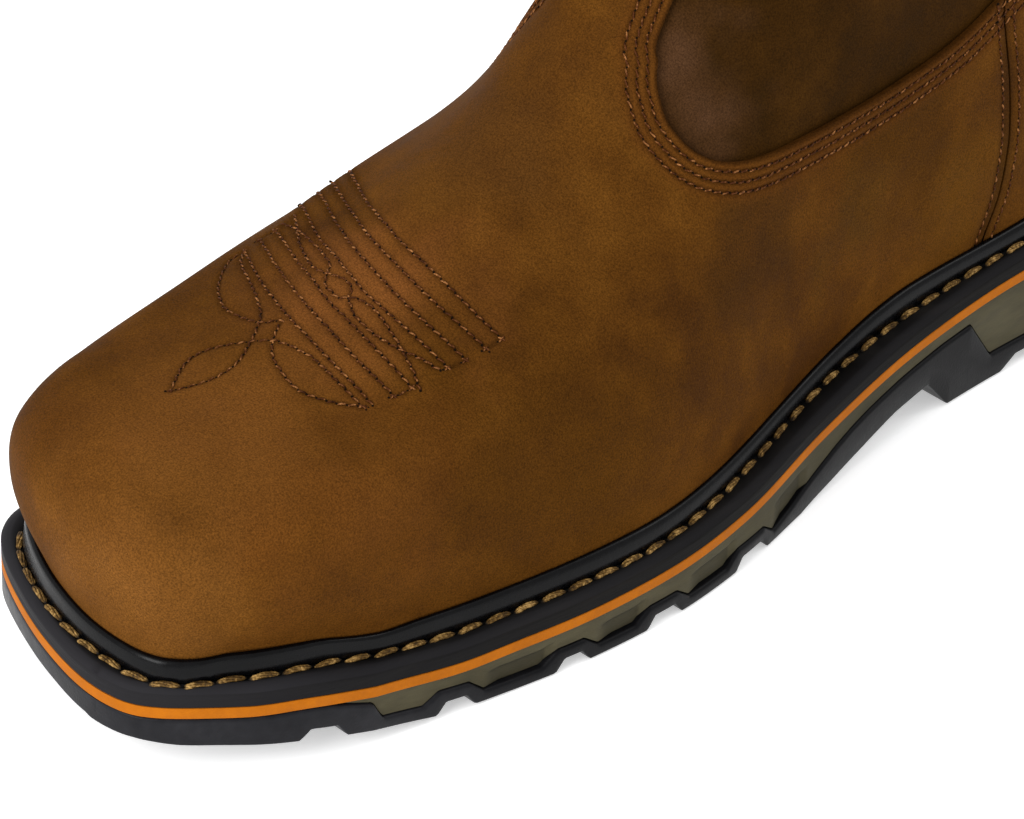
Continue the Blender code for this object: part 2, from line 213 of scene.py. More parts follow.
@dataclass(frozen=True)
class Last:
    """Form that the sole and the upper share."""

    length: float = 312.0
    toe_start: float = -2.04
    toe_reach: float = 47.85
    toe_power: float = 2.0
    heel_reach: float = 46.0
    heel_power: float = 2.3
    stripe_thick: float = 2.6
    gap: float = 0.3
    heel_round: float = 42.0
    shaft_round_step: float = 5.0
    shaft_ring: float = 7.0
    sag_rings: float = 5.0
    swing_rings: float = 8.0
    skirt_drop: float = 22.0
    stations: tuple[float, ...] = (35.0, 115.0, 190.0, 270.0)
    half_width: Curve = Curve((
        (0.0, 43.0), (14.0, 47.53), (40.0, 45.0), (70.0, 50.2), (98.0, 54.4), (125.0, 54.2),
        (145.0, 51.3), (175.0, 44.2), (205.0, 40.0), (235.0, 39.2), (265.0, 40.0), (312.0, 40.5),
    ))
    centre_line: Curve = Curve((
        (0.0, -1.25), (14.0, -2.45), (40.0, -0.15), (70.0, -0.65), (98.0, -0.45), (125.0, 0.65),
        (145.0, 1.25), (175.0, 1.75), (205.0, 1.35), (235.0, 0.35), (265.0, -0.25), (312.0, -0.25),
    ))
    toe_lean: Curve = Curve((
        (0.0, 10.0), (1.0, 9.2), (2.0, 8.2), (4.0, 6.2), (6.3, 4.4), (8.6, 2.8), (11.2, 1.2),
        (13.5, 0.0), (17.0, -1.2), (21.0, -1.65), (27.0, -1.7), (35.0, -0.8), (45.0, 0.0),
    ))
    lean_rings: float = 4.0
    upper_lean_least: float = -0.4
    upper_lean_soft: float = 0.35
    inner_fill: Curve = Curve((
        (27.0, 0.0), (33.0, 1.1), (41.0, 2.7), (51.0, 2.4), (65.0, 0.8), (80.0, 0.0),
    ))
    feather: Curve = Curve((
        (37.0, 0.0), (50.0, -1.1), (58.0, -0.3), (64.0, 0.0), (72.0, 0.0), (112.0, 0.0), (130.0, -0.5),
        (147.0, -1.2), (160.0, -1.6), (175.0, -1.6), (190.0, -0.6), (201.0, 0.5), (212.0, 0.9),
        (223.0, 0.2), (237.0, -0.7), (265.0, 0.0),
    ))
    inner_feather: float = 2.3
    inner_feather_reach: float = 14.0
    feather_rings: float = 1.5
    corner_end: float = 70.0
    corner_run: float = 35.0
    corner_rings: float = 2.0
    fill_rings: float = 3.0
    fill_share: float = 0.7
    stripe: Curve = Curve((
        (0.0, 15.4), (6.0, 15.3), (15.0, 14.6), (30.0, 14.4), (45.0, 12.2), (65.0, 9.9), (80.0, 10.0),
        (105.0, 10.4), (145.0, 12.0), (180.0, 16.0), (210.0, 19.6), (240.0, 22.2), (275.0, 23.2),
        (312.0, 23.6),
    ))
    rings: tuple[Ring, ...] = (
        Ring(4.4, 26.2, 306.0, 34.4, 36.5, 48.9, 33.4, 34.3, 37.0, 2.20),
        Ring(1.0, 40.4, 308.5, 46.0, 41.3, 49.8, 35.0, 36.0, 39.0, 2.30),
        Ring(2.8, 55.2, 309.5, 58.0, 40.2, 47.6, 35.6, 36.3, 42.0, 2.40),
        Ring(15.0, 63.8, 309.0, 70.0, 36.0, 44.0, 35.4, 35.6, 47.5, 2.35),
        Ring(42.0, 67.0, 306.5, 83.0, 27.0, 39.5, 34.8, 34.4, 64.5, 2.15),
        Ring(78.0, 74.4, 303.0, 97.0, 22.0, 35.0, 34.0, 33.2, 84.5, 2.05),
        Ring(110.0, 89.6, 300.0, 111.0, 20.0, 32.0, 33.5, 32.8, 89.5, 2.00),
        Ring(136.0, 112.0, 298.0, 126.0, 20.0, 31.0, 34.0, 33.5, 80.0, 2.00),
        Ring(155.0, 133.0, 297.5, 142.0, 20.0, 32.0, 35.5, 35.5, 72.0, 2.00),
        Ring(165.0, 158.0, 298.5, 160.0, 20.0, 36.0, 39.5, 39.0, 68.0, 2.10),
        Ring(169.0, 190.0, 300.5, 190.0, 20.0, 40.0, 44.5, 44.0, 67.0, 2.20),
        Ring(169.0, 230.0, 301.5, 230.0, 20.0, 44.0, 48.5, 48.0, 67.0, 2.20),
        Ring(167.0, 272.0, 302.0, 272.0, 20.0, 46.0, 51.0, 50.5, 68.0, 2.20),
    )

    def welt_floor(self, from_toe: Any) -> np.ndarray:
        """Height on which the welt and the insole sit."""
        return self.stripe.smooth(from_toe) + self.stripe_thick + self.gap

    def sole_middle(self, from_toe: np.ndarray, inset: float = 0.0) -> np.ndarray:
        """Middle of the sole's width."""
        lean = self.toe_lean.smooth(from_toe - self.toe_start - inset)
        return self.centre_line.smooth(from_toe) + lean - self.inner_fill.smooth(from_toe) / 2

    def sole_half(self, from_toe: np.ndarray, inset: float = 0.0) -> np.ndarray:
        """Half width of the sole.

        Args:
            from_toe: Places along the sole.
            inset: Distance by which the outline is drawn in.

        Returns:
            One half width for each place.
        """
        full = self.half_width.smooth(from_toe) - inset
        toe = end_round(from_toe - self.toe_start - inset, self.toe_reach, self.toe_power)
        heel = end_round(self.length - inset - from_toe, self.heel_reach, self.heel_power)
        return full * toe * heel + self.inner_fill.smooth(from_toe) / 2

    def sole_loop(self, steps: int, inset: float, rise: float) -> np.ndarray:
        """Closed line round the sole, measured up from the welt's floor.

        Args:
            steps: Steps on each side.
            inset: Distance inside the sole's outline.
            rise: Height above the welt's floor.

        Returns:
            Points from the heel along the outer side to the toe and back along the inner side.
        """
        share = spaced(steps)[::-1]
        loops = []
        for side, shares in ((Side.OUTER, share), (Side.INNER, share[-2:0:-1])):
            run = self.length - self.toe_start - 2 * inset
            from_toe = self.toe_start + inset + run * np.clip(shares, 0.00005, 0.99995)
            across = self.sole_middle(from_toe, inset) + side.value * self.sole_half(from_toe, inset)
            loops.append(np.stack([across, from_toe, self.welt_floor(from_toe) + rise], -1))
        return np.concatenate(loops)

    def point(self, level: Any, share: Any, side: Side, outset: float = 0.0) -> np.ndarray:
        """Points of the upper's outer form.

        Args:
            level: Ring level, 0 at the feather line; below 0 is the skirt behind the welt.
            share: 0 at the back of the ring, 1 at its front.
            side: Half of the boot.
            outset: Distance by which the ring's plan is widened.

        Returns:
            Points as across, from_toe, height.
        """
        level, share = np.broadcast_arrays(np.asarray(level, float), np.asarray(share, float))
        on = np.maximum(level, 0.0)
        ring = {}
        for field in fields(Ring):
            values = [getattr(row, field.name) for row in self.rings]
            ring[field.name] = hermite(range(len(values)), values, on)
        front, back = ring["front"] - outset, ring["back"] + outset
        from_toe = back + (front - back) * share
        height = ring["back_height"] + (ring["front_height"] - ring["back_height"]) * share
        under_back, under_front = self.stripe.smooth(back), self.stripe.smooth(front)
        chord = under_back + (under_front - under_back) * share
        height = height + (self.stripe.smooth(from_toe) - chord) * np.clip(1 - on / self.sag_rings, 0, 1)
        height = height + np.minimum(level, 0.0) * self.skirt_drop
        height = height + self.feather.smooth(from_toe) * np.clip(1 - on / self.feather_rings, 0, 1)
        if side is Side.INNER:
            corner = np.sin(np.clip((from_toe - front) / self.inner_feather_reach, 0, 1) * np.pi / 2)
            corner = corner * soft_step((self.corner_end - from_toe) / self.corner_run)
            corner = corner * np.clip(1 - on / self.corner_rings, 0, 1)
            height = height + self.inner_feather * corner
        knots = np.stack([ring["toe"], ring["ball"], ring["waist"], ring["heel"]], -1)
        half = hermite_rows(self.stations, knots, from_toe) + outset
        heel_reach = self.heel_round + self.shaft_round_step * np.clip(on - self.shaft_ring, 0, 5)
        half = half * end_round(from_toe - front, ring["nose"], ring["power"])
        half = half * end_round(back - from_toe, heel_reach, self.heel_power)
        bend = self.centre_line.smooth(from_toe) * np.clip(1 - on / self.swing_rings, 0, 1)
        least, soft = self.upper_lean_least, self.upper_lean_soft
        leaned = np.logaddexp(0.0, (self.toe_lean.smooth(from_toe - front) - least) / soft) * soft
        leaned = leaned - np.logaddexp(0.0, -least / soft) * soft
        bend = bend + leaned * np.clip(1 - on / self.lean_rings, 0, 1)
        if side is Side.INNER:
            fill = self.inner_fill.smooth(from_toe) * np.clip(1 - on / self.fill_rings, 0, 1)
            half = half + fill * self.fill_share
        return np.stack([bend + side.value * half, from_toe, height], -1)

    def ring_loop(self, steps: int, level: float, outset: float) -> np.ndarray:
        """Closed ring of the upper.

        Args:
            steps: Steps on each side.
            level: Ring level.
            outset: Distance by which the ring's plan is widened.

        Returns:
            Points from the heel along the outer side to the toe and back.
        """
        share = spaced(steps)
        outer = self.point(level, share, Side.OUTER, outset)
        inner = self.point(level, share[-2:0:-1], Side.INNER, outset)
        return np.concatenate([outer, inner])


LAST = Last()


def outward(grid: np.ndarray, closed: bool) -> np.ndarray:
    """Unit normals of a grid.

    Args:
        grid: Points, with rows that rise and columns that run from the heel round the toe.
        closed: The last column joins the first.

    Returns:
        One normal for each point.
    """
    if closed:
        along = np.roll(grid, -1, axis=1) - np.roll(grid, 1, axis=1)
    else:
        along = np.gradient(grid, axis=1)
    normal = np.cross(np.gradient(grid, axis=0), along)
    return normal / np.maximum(np.linalg.norm(normal, axis=2), 1e-9)[..., None]


def add_mesh(
    name: str, grid: np.ndarray, rows_closed: bool, finish: "Finish", smooth_angle: float
) -> bpy.types.Object:
    """Makes a mesh object from loops of points in millimetres.

    Args:
        name: Name of the piece.
        grid: Closed loops of points as across, from_toe, height.
        rows_closed: The last loop joins the first; otherwise both are capped.
        finish: Finish that the piece wears.
        smooth_angle: Edges sharper than this angle, in degrees, stay sharp.

    Returns:
        The new object, at the origin.
    """
    placed = (grid.reshape(-1, 3) - (0.0, LAST.length / 2, 0.0)) * MM
    faces = band_faces(grid.shape[0], grid.shape[1], rows_closed, True)
    mesh = bpy.data.meshes.new(name)
    mesh.from_pydata(placed.tolist(), [], faces)
    shell = bmesh.new()
    shell.from_mesh(mesh)
    if shell.calc_volume(signed=True) < 0:
        bmesh.ops.reverse_faces(shell, faces=shell.faces)
    shell.to_mesh(mesh)
    shell.free()
    mesh.shade_smooth()
    mesh.set_sharp_from_angle(angle=math.radians(smooth_angle))
    mesh.materials.append(finish.material())
    piece = bpy.data.objects.new(name, mesh)
    bpy.context.collection.objects.link(piece)
    return piece


def band_faces(rows: int, count: int, rows_closed: bool, count_closed: bool) -> list:
    """Faces of a grid, with flat caps on the first and last loop where only the loops close.

    Args:
        rows: Number of loops.
        count: Points in each loop.
        rows_closed: The last loop joins the first.
        count_closed: Each loop closes on itself.

    Returns:
        Corner numbers of each face.
    """
    number = np.arange(rows * count).reshape(rows, count)
    down = np.roll(number, -1, axis=0) if rows_closed else number[1:]
    here = number if rows_closed else number[:-1]
    if count_closed:
        corners = (here, down, np.roll(down, -1, axis=1), np.roll(here, -1, axis=1))
    else:
        corners = (here[:, :-1], down[:, :-1], down[:, 1:], here[:, 1:])
    faces = np.stack([c.ravel() for c in corners], 1).tolist()
    if count_closed and not rows_closed:
        faces.append(number[0].tolist())
        faces.append(number[-1][::-1].tolist())
    return faces


def mark(piece: bpy.types.Object, name: str, values: np.ndarray) -> None:
    """Stores one value for each point of a piece, for its finish to read."""
    layer = piece.data.attributes.new(name, "FLOAT", "POINT")
    layer.data.foreach_set("value", values.astype(np.float32).ravel())


def edge_lines(
    middle: np.ndarray, place: np.ndarray, profile: Sequence[tuple], side: Side
) -> list[np.ndarray]:
    """Lines along one side of the sole, one for each width and height of a profile."""
    return [np.stack([middle + side.value * width, place, height], -1) for width, height in profile]


def declare(piece: bpy.types.Object, slot: str, *nodes: str) -> None:
    """Lets a piece ride on the boot and hides the solids that it stands for.

    Args:
        piece: The finished piece.
        slot: Name of its finish slot; not used.
        *nodes: Solids that it stands for.
    """
    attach(piece, "root")
    if nodes:
        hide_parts(*nodes)
    LOG.info("%s: %d faces", piece.name, len(piece.data.polygons))


@dataclass(frozen=True)
class Finish:
    """Base of every finish: a named material with noise-driven colour, roughness and bump.

    The colours run from dark to light, and the sizes are those of patches, flecks and grain.
    """

    name: str
    colours: tuple[str, str, str]
    sizes_mm: tuple[float, float, float]
    grain_depth: float
    rough: tuple[float, float]
    stretch: tuple[float, float, float] = (1.0, 1.0, 1.0)
    ior: float = 1.5
    specular: float = 0.25
    sheen: float = 0.0
    fleck_share: float = 0.4
    colour_stops: tuple[float, float, float] = (0.36, 0.5, 0.64)

    def patterns(self) -> tuple[tuple[str, float, float], ...]:
        """Name, size in millimetres and detail of each noise."""
        patch, fleck, grain = self.sizes_mm
        return (("patch", patch, 3.0), ("fleck", fleck, 4.0), ("grain", grain, 3.0))

    def colour(self, tree: Any, noise: dict[str, Any]) -> Any:
        """Colour from broad patches and small flecks.

        Args:
            tree: Node tree of the material.
            noise: Output socket of each noise.

        Returns:
            Output socket with the colour.
        """
        both = put(tree, "ShaderNodeMix", {0: self.fleck_share, 2: noise["patch"], 3: noise["fleck"]})
        ramp = put(tree, "ShaderNodeValToRGB", {"Fac": both.outputs[0]})
        ramp.color_ramp.elements.new(self.colour_stops[1])
        for element, stop, code in zip(ramp.color_ramp.elements, self.colour_stops, self.colours):
            element.position, element.color = stop, linear(code)
        return ramp.outputs["Color"]

    def material(self) -> bpy.types.Material:
        """The finish's material, made the first time it is asked for.

        Returns:
            Material with patches, flecks and grain sized in millimetres.
        """
        known = bpy.data.materials.get(self.name)
        if known:
            return known
        material = bpy.data.materials.new(self.name)
        material.use_nodes = True
        tree = material.node_tree
        shader = tree.nodes["Principled BSDF"]
        place = put(tree, "ShaderNodeTexCoord").outputs["Object"]
        run = put(tree, "ShaderNodeMapping", {"Vector": place, "Scale": self.stretch}).outputs[0]
        noise = {}
        for name, size_mm, detail in self.patterns():
            links = {"Vector": run, "Scale": 1 / (size_mm * MM), "Detail": detail, "Roughness": 0.58}
            noise[name] = put(tree, "ShaderNodeTexNoise", links).outputs["Fac"]
        links = {"Value": noise["fleck"], "From Min": 0.3, "From Max": 0.7}
        links |= {"To Min": self.rough[0], "To Max": self.rough[1]}
        rough = put(tree, "ShaderNodeMapRange", links).outputs["Result"]
        links = {"Height": noise["grain"], "Distance": self.grain_depth * MM}
        bump = put(tree, "ShaderNodeBump", links).outputs["Normal"]
        joined = {"Base Color": self.colour(tree, noise), "Roughness": rough, "Normal": bump}
        for socket, output in joined.items():
            tree.links.new(output, shader.inputs[socket])
        constant = {"IOR": self.ior, "Specular IOR Level": self.specular, "Sheen Weight": self.sheen}
        for socket, value in constant.items():
            shader.inputs[socket].default_value = value
        return material


@dataclass(frozen=True)
class Tone:
    """Soft placed patch of colour: partly oil drawn away and gathered, partly painted light and shade,
    lighter where light falls on the toe front and top, darker on the shaded outer flank.
    """

    across: float
    from_toe: float
    height: float
    reach: float
    colour: str
    weight: float


@dataclass(frozen=True)
class OiledLeather(Finish):
    """Leather with placed patches of oil and of painted light and shade, a short buffed nap, and painted
    shade along its sewn-down lines and edges, where the raw edge is also dark.
    """

    oil_and_light_tones: tuple[Tone, ...] = ()
    nap_mm: float = 0.38
    nap_weight: float = 0.37
    # Pressed colour: painted shade in the stitch troughs, and the dark raw edge with painted shade along the
    # cut edges.
    pressed: str = "#1d0e03"
    pressed_weight: float = 0.6
    band: str = "#54300f"
    band_weight: float = 0.5
    wander_scale: float = 45.0
    wander: float = 0.05

    def patterns(self) -> tuple[tuple[str, float, float], ...]:
        """Noises of the finish, with the buffed nap."""
        return Finish.patterns(self) + (("nap", self.nap_mm, 2.0),)

    def colour(self, tree: Any, noise: dict[str, Any]) -> Any:
        """Colour with patches, nap, painted shade in pressed seams and at the edges, and the lighter band
        that bends at the edge.

        Args:
            tree: Node tree of the material.
            noise: Output socket of each noise.

        Returns:
            Output socket with the colour.
        """
        shade = Finish.colour(self, tree, noise)
        place = put(tree, "ShaderNodeTexCoord").outputs["Object"]
        links = {"Vector": place, "Scale": self.wander_scale, "Detail": 3.0}
        moved = put(tree, "ShaderNodeTexNoise", links).outputs["Color"]
        steps = (("SUBTRACT", 1, (0.5, 0.5, 0.5)), ("SCALE", "Scale", self.wander), ("ADD", 1, place))
        for operation, socket, value in steps:
            links = {0: moved, socket: value}
            moved = put(tree, "ShaderNodeVectorMath", links, operation=operation).outputs[0]
        # Placed tones: partly oil patches, partly painted light and shade.
        for tone in self.oil_and_light_tones:
            spot = (tone.across * MM, (tone.from_toe - LAST.length / 2) * MM, tone.height * MM)
            away = put(tree, "ShaderNodeVectorMath", {0: moved, 1: spot}, operation="DISTANCE")
            links = {"Value": away.outputs["Value"], "From Max": tone.reach * MM}
            links |= {"To Min": tone.weight, "To Max": 0.0}
            part = put(tree, "ShaderNodeMapRange", links, interpolation_type="SMOOTHSTEP").outputs[0]
            links = {0: part, 6: shade, 7: linear(tone.colour)}
            shade = put(tree, "ShaderNodeMix", links, data_type="RGBA").outputs[2]
        marks = (("band", self.band, self.band_weight), ("pressed", self.pressed, self.pressed_weight))
        for name, code, weight in marks:
            found = put(tree, "ShaderNodeAttribute", attribute_name=name).outputs["Fac"]
            part = put(tree, "ShaderNodeMath", {0: found, 1: weight}, operation="MULTIPLY").outputs[0]
            links = {0: part, 6: shade, 7: linear(code)}
            shade = put(tree, "ShaderNodeMix", links, data_type="RGBA").outputs[2]
        links = {"Value": noise["nap"], "From Min": 0.3, "From Max": 0.7}
        links |= {"To Min": 1 - self.nap_weight, "To Max": 1 + self.nap_weight}
        lift = put(tree, "ShaderNodeMapRange", links).outputs[0]
        return put(tree, "ShaderNodeVectorMath", {0: shade, "Scale": lift}, operation="SCALE").outputs[0]


@dataclass(frozen=True)
class MarkedFinish(Finish):
    """Finish with a second colour where the mesh is marked: painted shade in hollows and towards the heel of
    the outsole, painted light on a trimmed corner.
    """

    mark: str = "hollow"
    shade: str = "#1e1c14"

    def colour(self, tree: Any, noise: dict[str, Any]) -> Any:
        """Colour of the finish, mixed towards the second colour by the mark.

        Args:
            tree: Node tree of the material.
            noise: Output socket of each noise.

        Returns:
            Output socket with the colour.
        """
        plain = Finish.colour(self, tree, noise)
        found = put(tree, "ShaderNodeAttribute", attribute_name=self.mark).outputs["Fac"]
        links = {0: found, 6: plain, 7: linear(self.shade)}
        return put(tree, "ShaderNodeMix", links, data_type="RGBA").outputs[2]


@dataclass(frozen=True)
class Thread(Finish):
    """Thread with painted shade where a stitch dives into its hole."""

    root: str = "#000000"

    def colour(self, tree: Any, noise: dict[str, Any]) -> Any:
        """Colour of the strand, mixed towards the dark root, a painted shade, at both ends of each stitch.

        Args:
            tree: Node tree of the material.
            noise: Output socket of each noise.

        Returns:
            Output socket with the colour.
        """
        strand = Finish.colour(self, tree, noise)
        # Painted shade: the strand darkens towards the root at both ends of each stitch.
        swell = put(tree, "ShaderNodeAttribute", attribute_name="swell").outputs["Fac"]
        links = {"Value": swell, "From Min": 0.4, "From Max": 0.85}
        part = put(tree, "ShaderNodeMapRange", links).outputs[0]
        links = {0: part, 6: linear(self.root), 7: strand}
        return put(tree, "ShaderNodeMix", links, data_type="RGBA").outputs[2]


# Oiled pull-up leather, full grain with a buffed nap: saturated brown, matt, with broad placed patches that
# are partly oil and partly painted light and shade, lighter on the toe front and top, darker on the outer
# flank.
OILED_LEATHER = OiledLeather(
    "oiled_leather", ("#42260a", "#4f2f0c", "#5b3810"), (38.0, 9.0, 0.5), 0.09, (0.6, 0.75), specular=0.015,
    oil_and_light_tones=(
        Tone(8.0, 30.0, 66.0, 46.0, "#6a4119", 0.75),
        Tone(10.0, 4.7, 47.0, 36.0, "#68421a", 0.8),
        Tone(38.0, 36.0, 56.0, 34.0, "#5f3812", 0.6),
        Tone(2.0, 78.0, 74.0, 36.0, "#72441e", 0.75),
        Tone(-19.0, 14.0, 62.0, 22.0, "#4c2c0c", 0.5),
        Tone(47.5, 95.0, 45.0, 44.0, "#452907", 0.7),
        Tone(-5.0, 122.0, 96.0, 34.0, "#4a2e11", 0.8),
        Tone(40.0, 156.5, 67.0, 20.0, "#3a240d", 0.75),
        Tone(35.5, 63.0, 65.0, 22.0, "#4a2a0a", 0.6),
        Tone(35.4, 206.0, 72.0, 32.0, "#402607", 0.8),
        Tone(35.0, 228.0, 48.0, 26.0, "#5a390e", 0.7),
        Tone(36.0, 190.0, 58.0, 18.0, "#47300f", 0.4),
    ),
)
# The same leather on the shaft, a darker cut that the scoop frames.
SHAFT_LEATHER = OiledLeather(
    "shaft_leather", ("#2a1905", "#311d06", "#3b2409"), (30.0, 8.0, 0.5), 0.09, (0.6, 0.75), specular=0.015,
    oil_and_light_tones=(Tone(33.0, 142.0, 110.0, 30.0, "#563b28", 0.75),),
)
# Moulded rubber compound: near black, satin, with a fine mould grit, and painted shade where it is marked:
# darker towards the heel and darkest on the heel breast.
MOULDED_RUBBER = MarkedFinish(
    "moulded_rubber", ("#17171a", "#1d1d20", "#242427"), (18.0, 3.0, 0.5), 0.05, (0.3, 0.42), specular=0.09,
    mark="shade", shade="#040405",
)
# Extruded vinyl bead of the welt: deep black and glossy.
WELT_BEAD = Finish(
    "welt_bead_vinyl", ("#030304", "#050506", "#08080a"), (12.0, 2.0, 0.8), 0.03, (0.22, 0.3), specular=0.13,
)
# Trimmed rubber edge: near black, matt, scored lengthwise by the trimming wheel, with painted light where it
# is marked: greyer on the chamfer under the stitches and towards the toe.
# The score lines are drawn coarser than the real ones so that they show.
TRIMMED_EDGE = MarkedFinish(
    "trimmed_rubber_edge", ("#090808", "#11100f", "#1c1a18"), (8.0, 1.0, 0.45), 0.1, (0.5, 0.66),
    stretch=(0.05, 0.05, 1.0), specular=0.045, mark="corner", shade="#2b2a2d",
)
# Trimmed midsole foam rubber: olive grey, matt, open pores, with painted shade in its hollows.
OLIVE_FOAM = MarkedFinish(
    "olive_foam", ("#353120", "#413c2a", "#4d4835"), (16.0, 2.2, 0.5), 0.1, (0.6, 0.78),
    stretch=(0.3, 0.3, 1.0), specular=0.15,
)
# Orange foam rubber layer with a ground edge: saturated and matt.
ORANGE_FOAM = Finish(
    "orange_foam", ("#9f580a", "#a65c0b", "#ae620d"), (10.0, 1.6, 0.5), 0.06, (0.55, 0.7), specular=0.06,
)
# Knitted cover of the footbed: dark grey with a soft sheen.
FOOTBED_CLOTH = Finish(
    "footbed_cloth", ("#2a2927", "#35332f", "#403e39"), (20.0, 1.4, 0.9), 0.15, (0.8, 0.95), sheen=0.2,
)
# Waxed thick thread of the welt seam: gold-brown strands, with light flecks that stand partly for painted
# highlights, and painted shade where they dive.
WELT_THREAD = Thread(
    "welt_thread", ("#33230d", "#634921", "#ab8850"), (2.4, 0.6, 0.35), 0.05, (0.45, 0.65), specular=0.15,
    root="#120b04",
)
# Thin bonded thread of the upper's seams: dark brown, with light flecks that stand partly for painted
# highlights, and painted shade at both ends of each stitch.
SEAM_THREAD = Thread(
    "seam_thread", ("#2a1508", "#4e2a13", "#a06c3e"), (1.6, 0.6, 0.3), 0.03, (0.4, 0.6), specular=0.04,
    root="#0d0602",
)
# Needle hole: the shaded inside of the leather.
NEEDLE_HOLE = Finish(
    "needle_hole", ("#0d0703", "#120a04", "#1a0f07"), (3.0, 1.0, 0.5), 0.02, (0.8, 0.9), specular=0.05,
)


@dataclass
class Studio:
    """Camera, lights and floor."""

    azimuth: float = 44.785
    elevation: float = 34.494
    roll: float = 1.886
    focal_px: float = 5925.6
    image_width: float = 1024.0
    camera_mm: tuple[float, float, float] = (744.1, -624.4, 749.0)
    sensor_mm: float = 36.0
    floor_half: float = 3.0
    floor_glow: float = 0.42
    floor_drop: float = 0.0003
    aim: tuple[float, float, float] = (0.0, 0.0, 0.06)
    sky_strength: float = 0.8
    white: tuple[float, float, float, float] = (1.0, 1.0, 1.0, 1.0)

    def place_camera(self) -> None:
        """Puts the camera at the photograph's viewing angle."""
        az, el, roll = (math.radians(v) for v in (self.azimuth, self.elevation, self.roll))
        back = Vector((math.sin(az) * math.cos(el), -math.cos(az) * math.cos(el), math.sin(el)))
        level = Vector((math.cos(az), math.sin(az), 0.0))
        upright = back.cross(level)
        right = math.cos(roll) * level + math.sin(roll) * upright
        up = -math.sin(roll) * level + math.cos(roll) * upright
        data = bpy.data.cameras.new("camera")
        data.sensor_width = self.sensor_mm
        data.lens = self.sensor_mm * self.focal_px / self.image_width
        data.clip_start, data.clip_end = 0.05, 50.0
        camera = bpy.data.objects.new("camera", data)
        turn = Matrix((right, up, back)).transposed()
        x, y, z = self.camera_mm
        place = Matrix.Translation(Vector((x, y - LAST.length / 2, z)) * MM)
        camera.matrix_world = place @ turn.to_4x4()
        bpy.context.collection.objects.link(camera)
        bpy.context.scene.camera = camera

    def add_light(self, name: str, place: tuple, size: float, power: float) -> None:
        """Adds a soft square light aimed at the boot.

        Args:
            name: Name of the light.
            place: Where it hangs, in metres.
            size: Side of the square, in metres.
            power: Its power in watts.
        """
        data = bpy.data.lights.new(name, "AREA")
        data.size, data.energy = size, power
        light = bpy.data.objects.new(name, data)
        light.location = place
        light.rotation_euler = (Vector(self.aim) - Vector(place)).to_track_quat("-Z", "Y").to_euler()
        bpy.context.collection.objects.link(light)

    def build(self) -> None:
        """Makes the floor, the lights and the camera."""
        self.place_camera()
        world = bpy.data.worlds.new("studio")
        world.use_nodes = True
        sky = world.node_tree.nodes["Background"]
        sky.inputs["Color"].default_value = self.white
        sky.inputs["Strength"].default_value = self.sky_strength
        bpy.context.scene.world = world
        bpy.context.scene.view_settings.view_transform = "Standard"
        self.add_light("key", place=(0.1, -1.8, 1.0), size=1.2, power=34.0)
        self.add_light("back", place=(0.7, 1.1, 1.35), size=0.5, power=3.2)
        h = self.floor_half
        mesh = bpy.data.meshes.new("floor")
        mesh.from_pydata([(-h, -h, 0.0), (h, -h, 0.0), (h, h, 0.0), (-h, h, 0.0)], [], [(0, 1, 2, 3)])
        paper = bpy.data.materials.new("white_paper")
        paper.use_nodes = True
        shader = paper.node_tree.nodes["Principled BSDF"]
        looks = {"Base Color": linear("#fbfbfb"), "Roughness": 0.9, "Specular IOR Level": 0.1}
        looks |= {"Emission Color": self.white, "Emission Strength": self.floor_glow}
        for socket, value in looks.items():
            shader.inputs[socket].default_value = value
        mesh.materials.append(paper)
        floor = bpy.data.objects.new("floor", mesh)
        floor.location = (0.0, 0.0, -self.floor_drop)
        bpy.context.collection.objects.link(floor)


@dataclass(frozen=True)
class Crease:
    """Soft trough, or ridge where its depth is negative, along a straight run in one view."""

    facing: Facing
    start: tuple[float, float]
    end: tuple[float, float]
    depth: float
    width: float

    def sink(self, points: np.ndarray) -> np.ndarray:
        """Depth of the crease at each point.

        Args:
            points: Points as across, from_toe, height.

        Returns:
            One depth for each point.
        """
        flat = points[..., list(self.facing.value)]
        start, run = np.array(self.start), np.array(self.end) - np.array(self.start)
        along = np.clip(((flat - start) @ run) / (run @ run), 0, 1)
        away = np.linalg.norm(flat - start - along[..., None] * run, axis=-1)
        fade = np.sin(np.pi * np.clip(along, 0.02, 0.98)) ** 0.6
        return self.depth * fade * np.exp(-((away / self.width) ** 2))


def drawn(places: Places, steps: int = 14) -> np.ndarray:
    """Smooth plan curve through places of across and from_toe.

    Args:
        places: Places that the curve runs through.
        steps: Points drawn for each place.

    Returns:
        Points of the curve in plan.
    """
    at, points = np.arange(len(places)), np.array(places)
    fine = np.linspace(0, len(places) - 1, steps * len(places))
    return np.stack([hermite(at, points[:, k], fine) for k in range(2)], -1)


def even(line: np.ndarray, step: float) -> np.ndarray:
    """Spaces the points of a line evenly.

    Args:
        line: Points of the line.
        step: Distance between the new points.

    Returns:
        The new points.
    """
    run = np.concatenate([[0.0], np.cumsum(np.linalg.norm(np.diff(line, axis=0), axis=1))])
    at = np.linspace(0.0, run[-1], max(2, int(run[-1] / step)))
    return np.stack([np.interp(at, run, line[:, k]) for k in range(3)], -1)


def near_distance(points: np.ndarray, lines: list[np.ndarray], step: float = 0.35) -> np.ndarray:
    """Distance from each point to the nearest of some lines.

    Args:
        points: Points to measure from.
        lines: Points of each line.
        step: Distance between the places that stand for a line.

    Returns:
        One distance for each point.
    """
    spots = np.concatenate([even(line, step) for line in lines])
    tree = KDTree(len(spots))
    for number, spot in enumerate(spots):
        tree.insert(spot, number)
    tree.balance()
    found = [tree.find(point)[2] for point in points.reshape(-1, 3)]
    return np.array(found).reshape(points.shape[:-1])


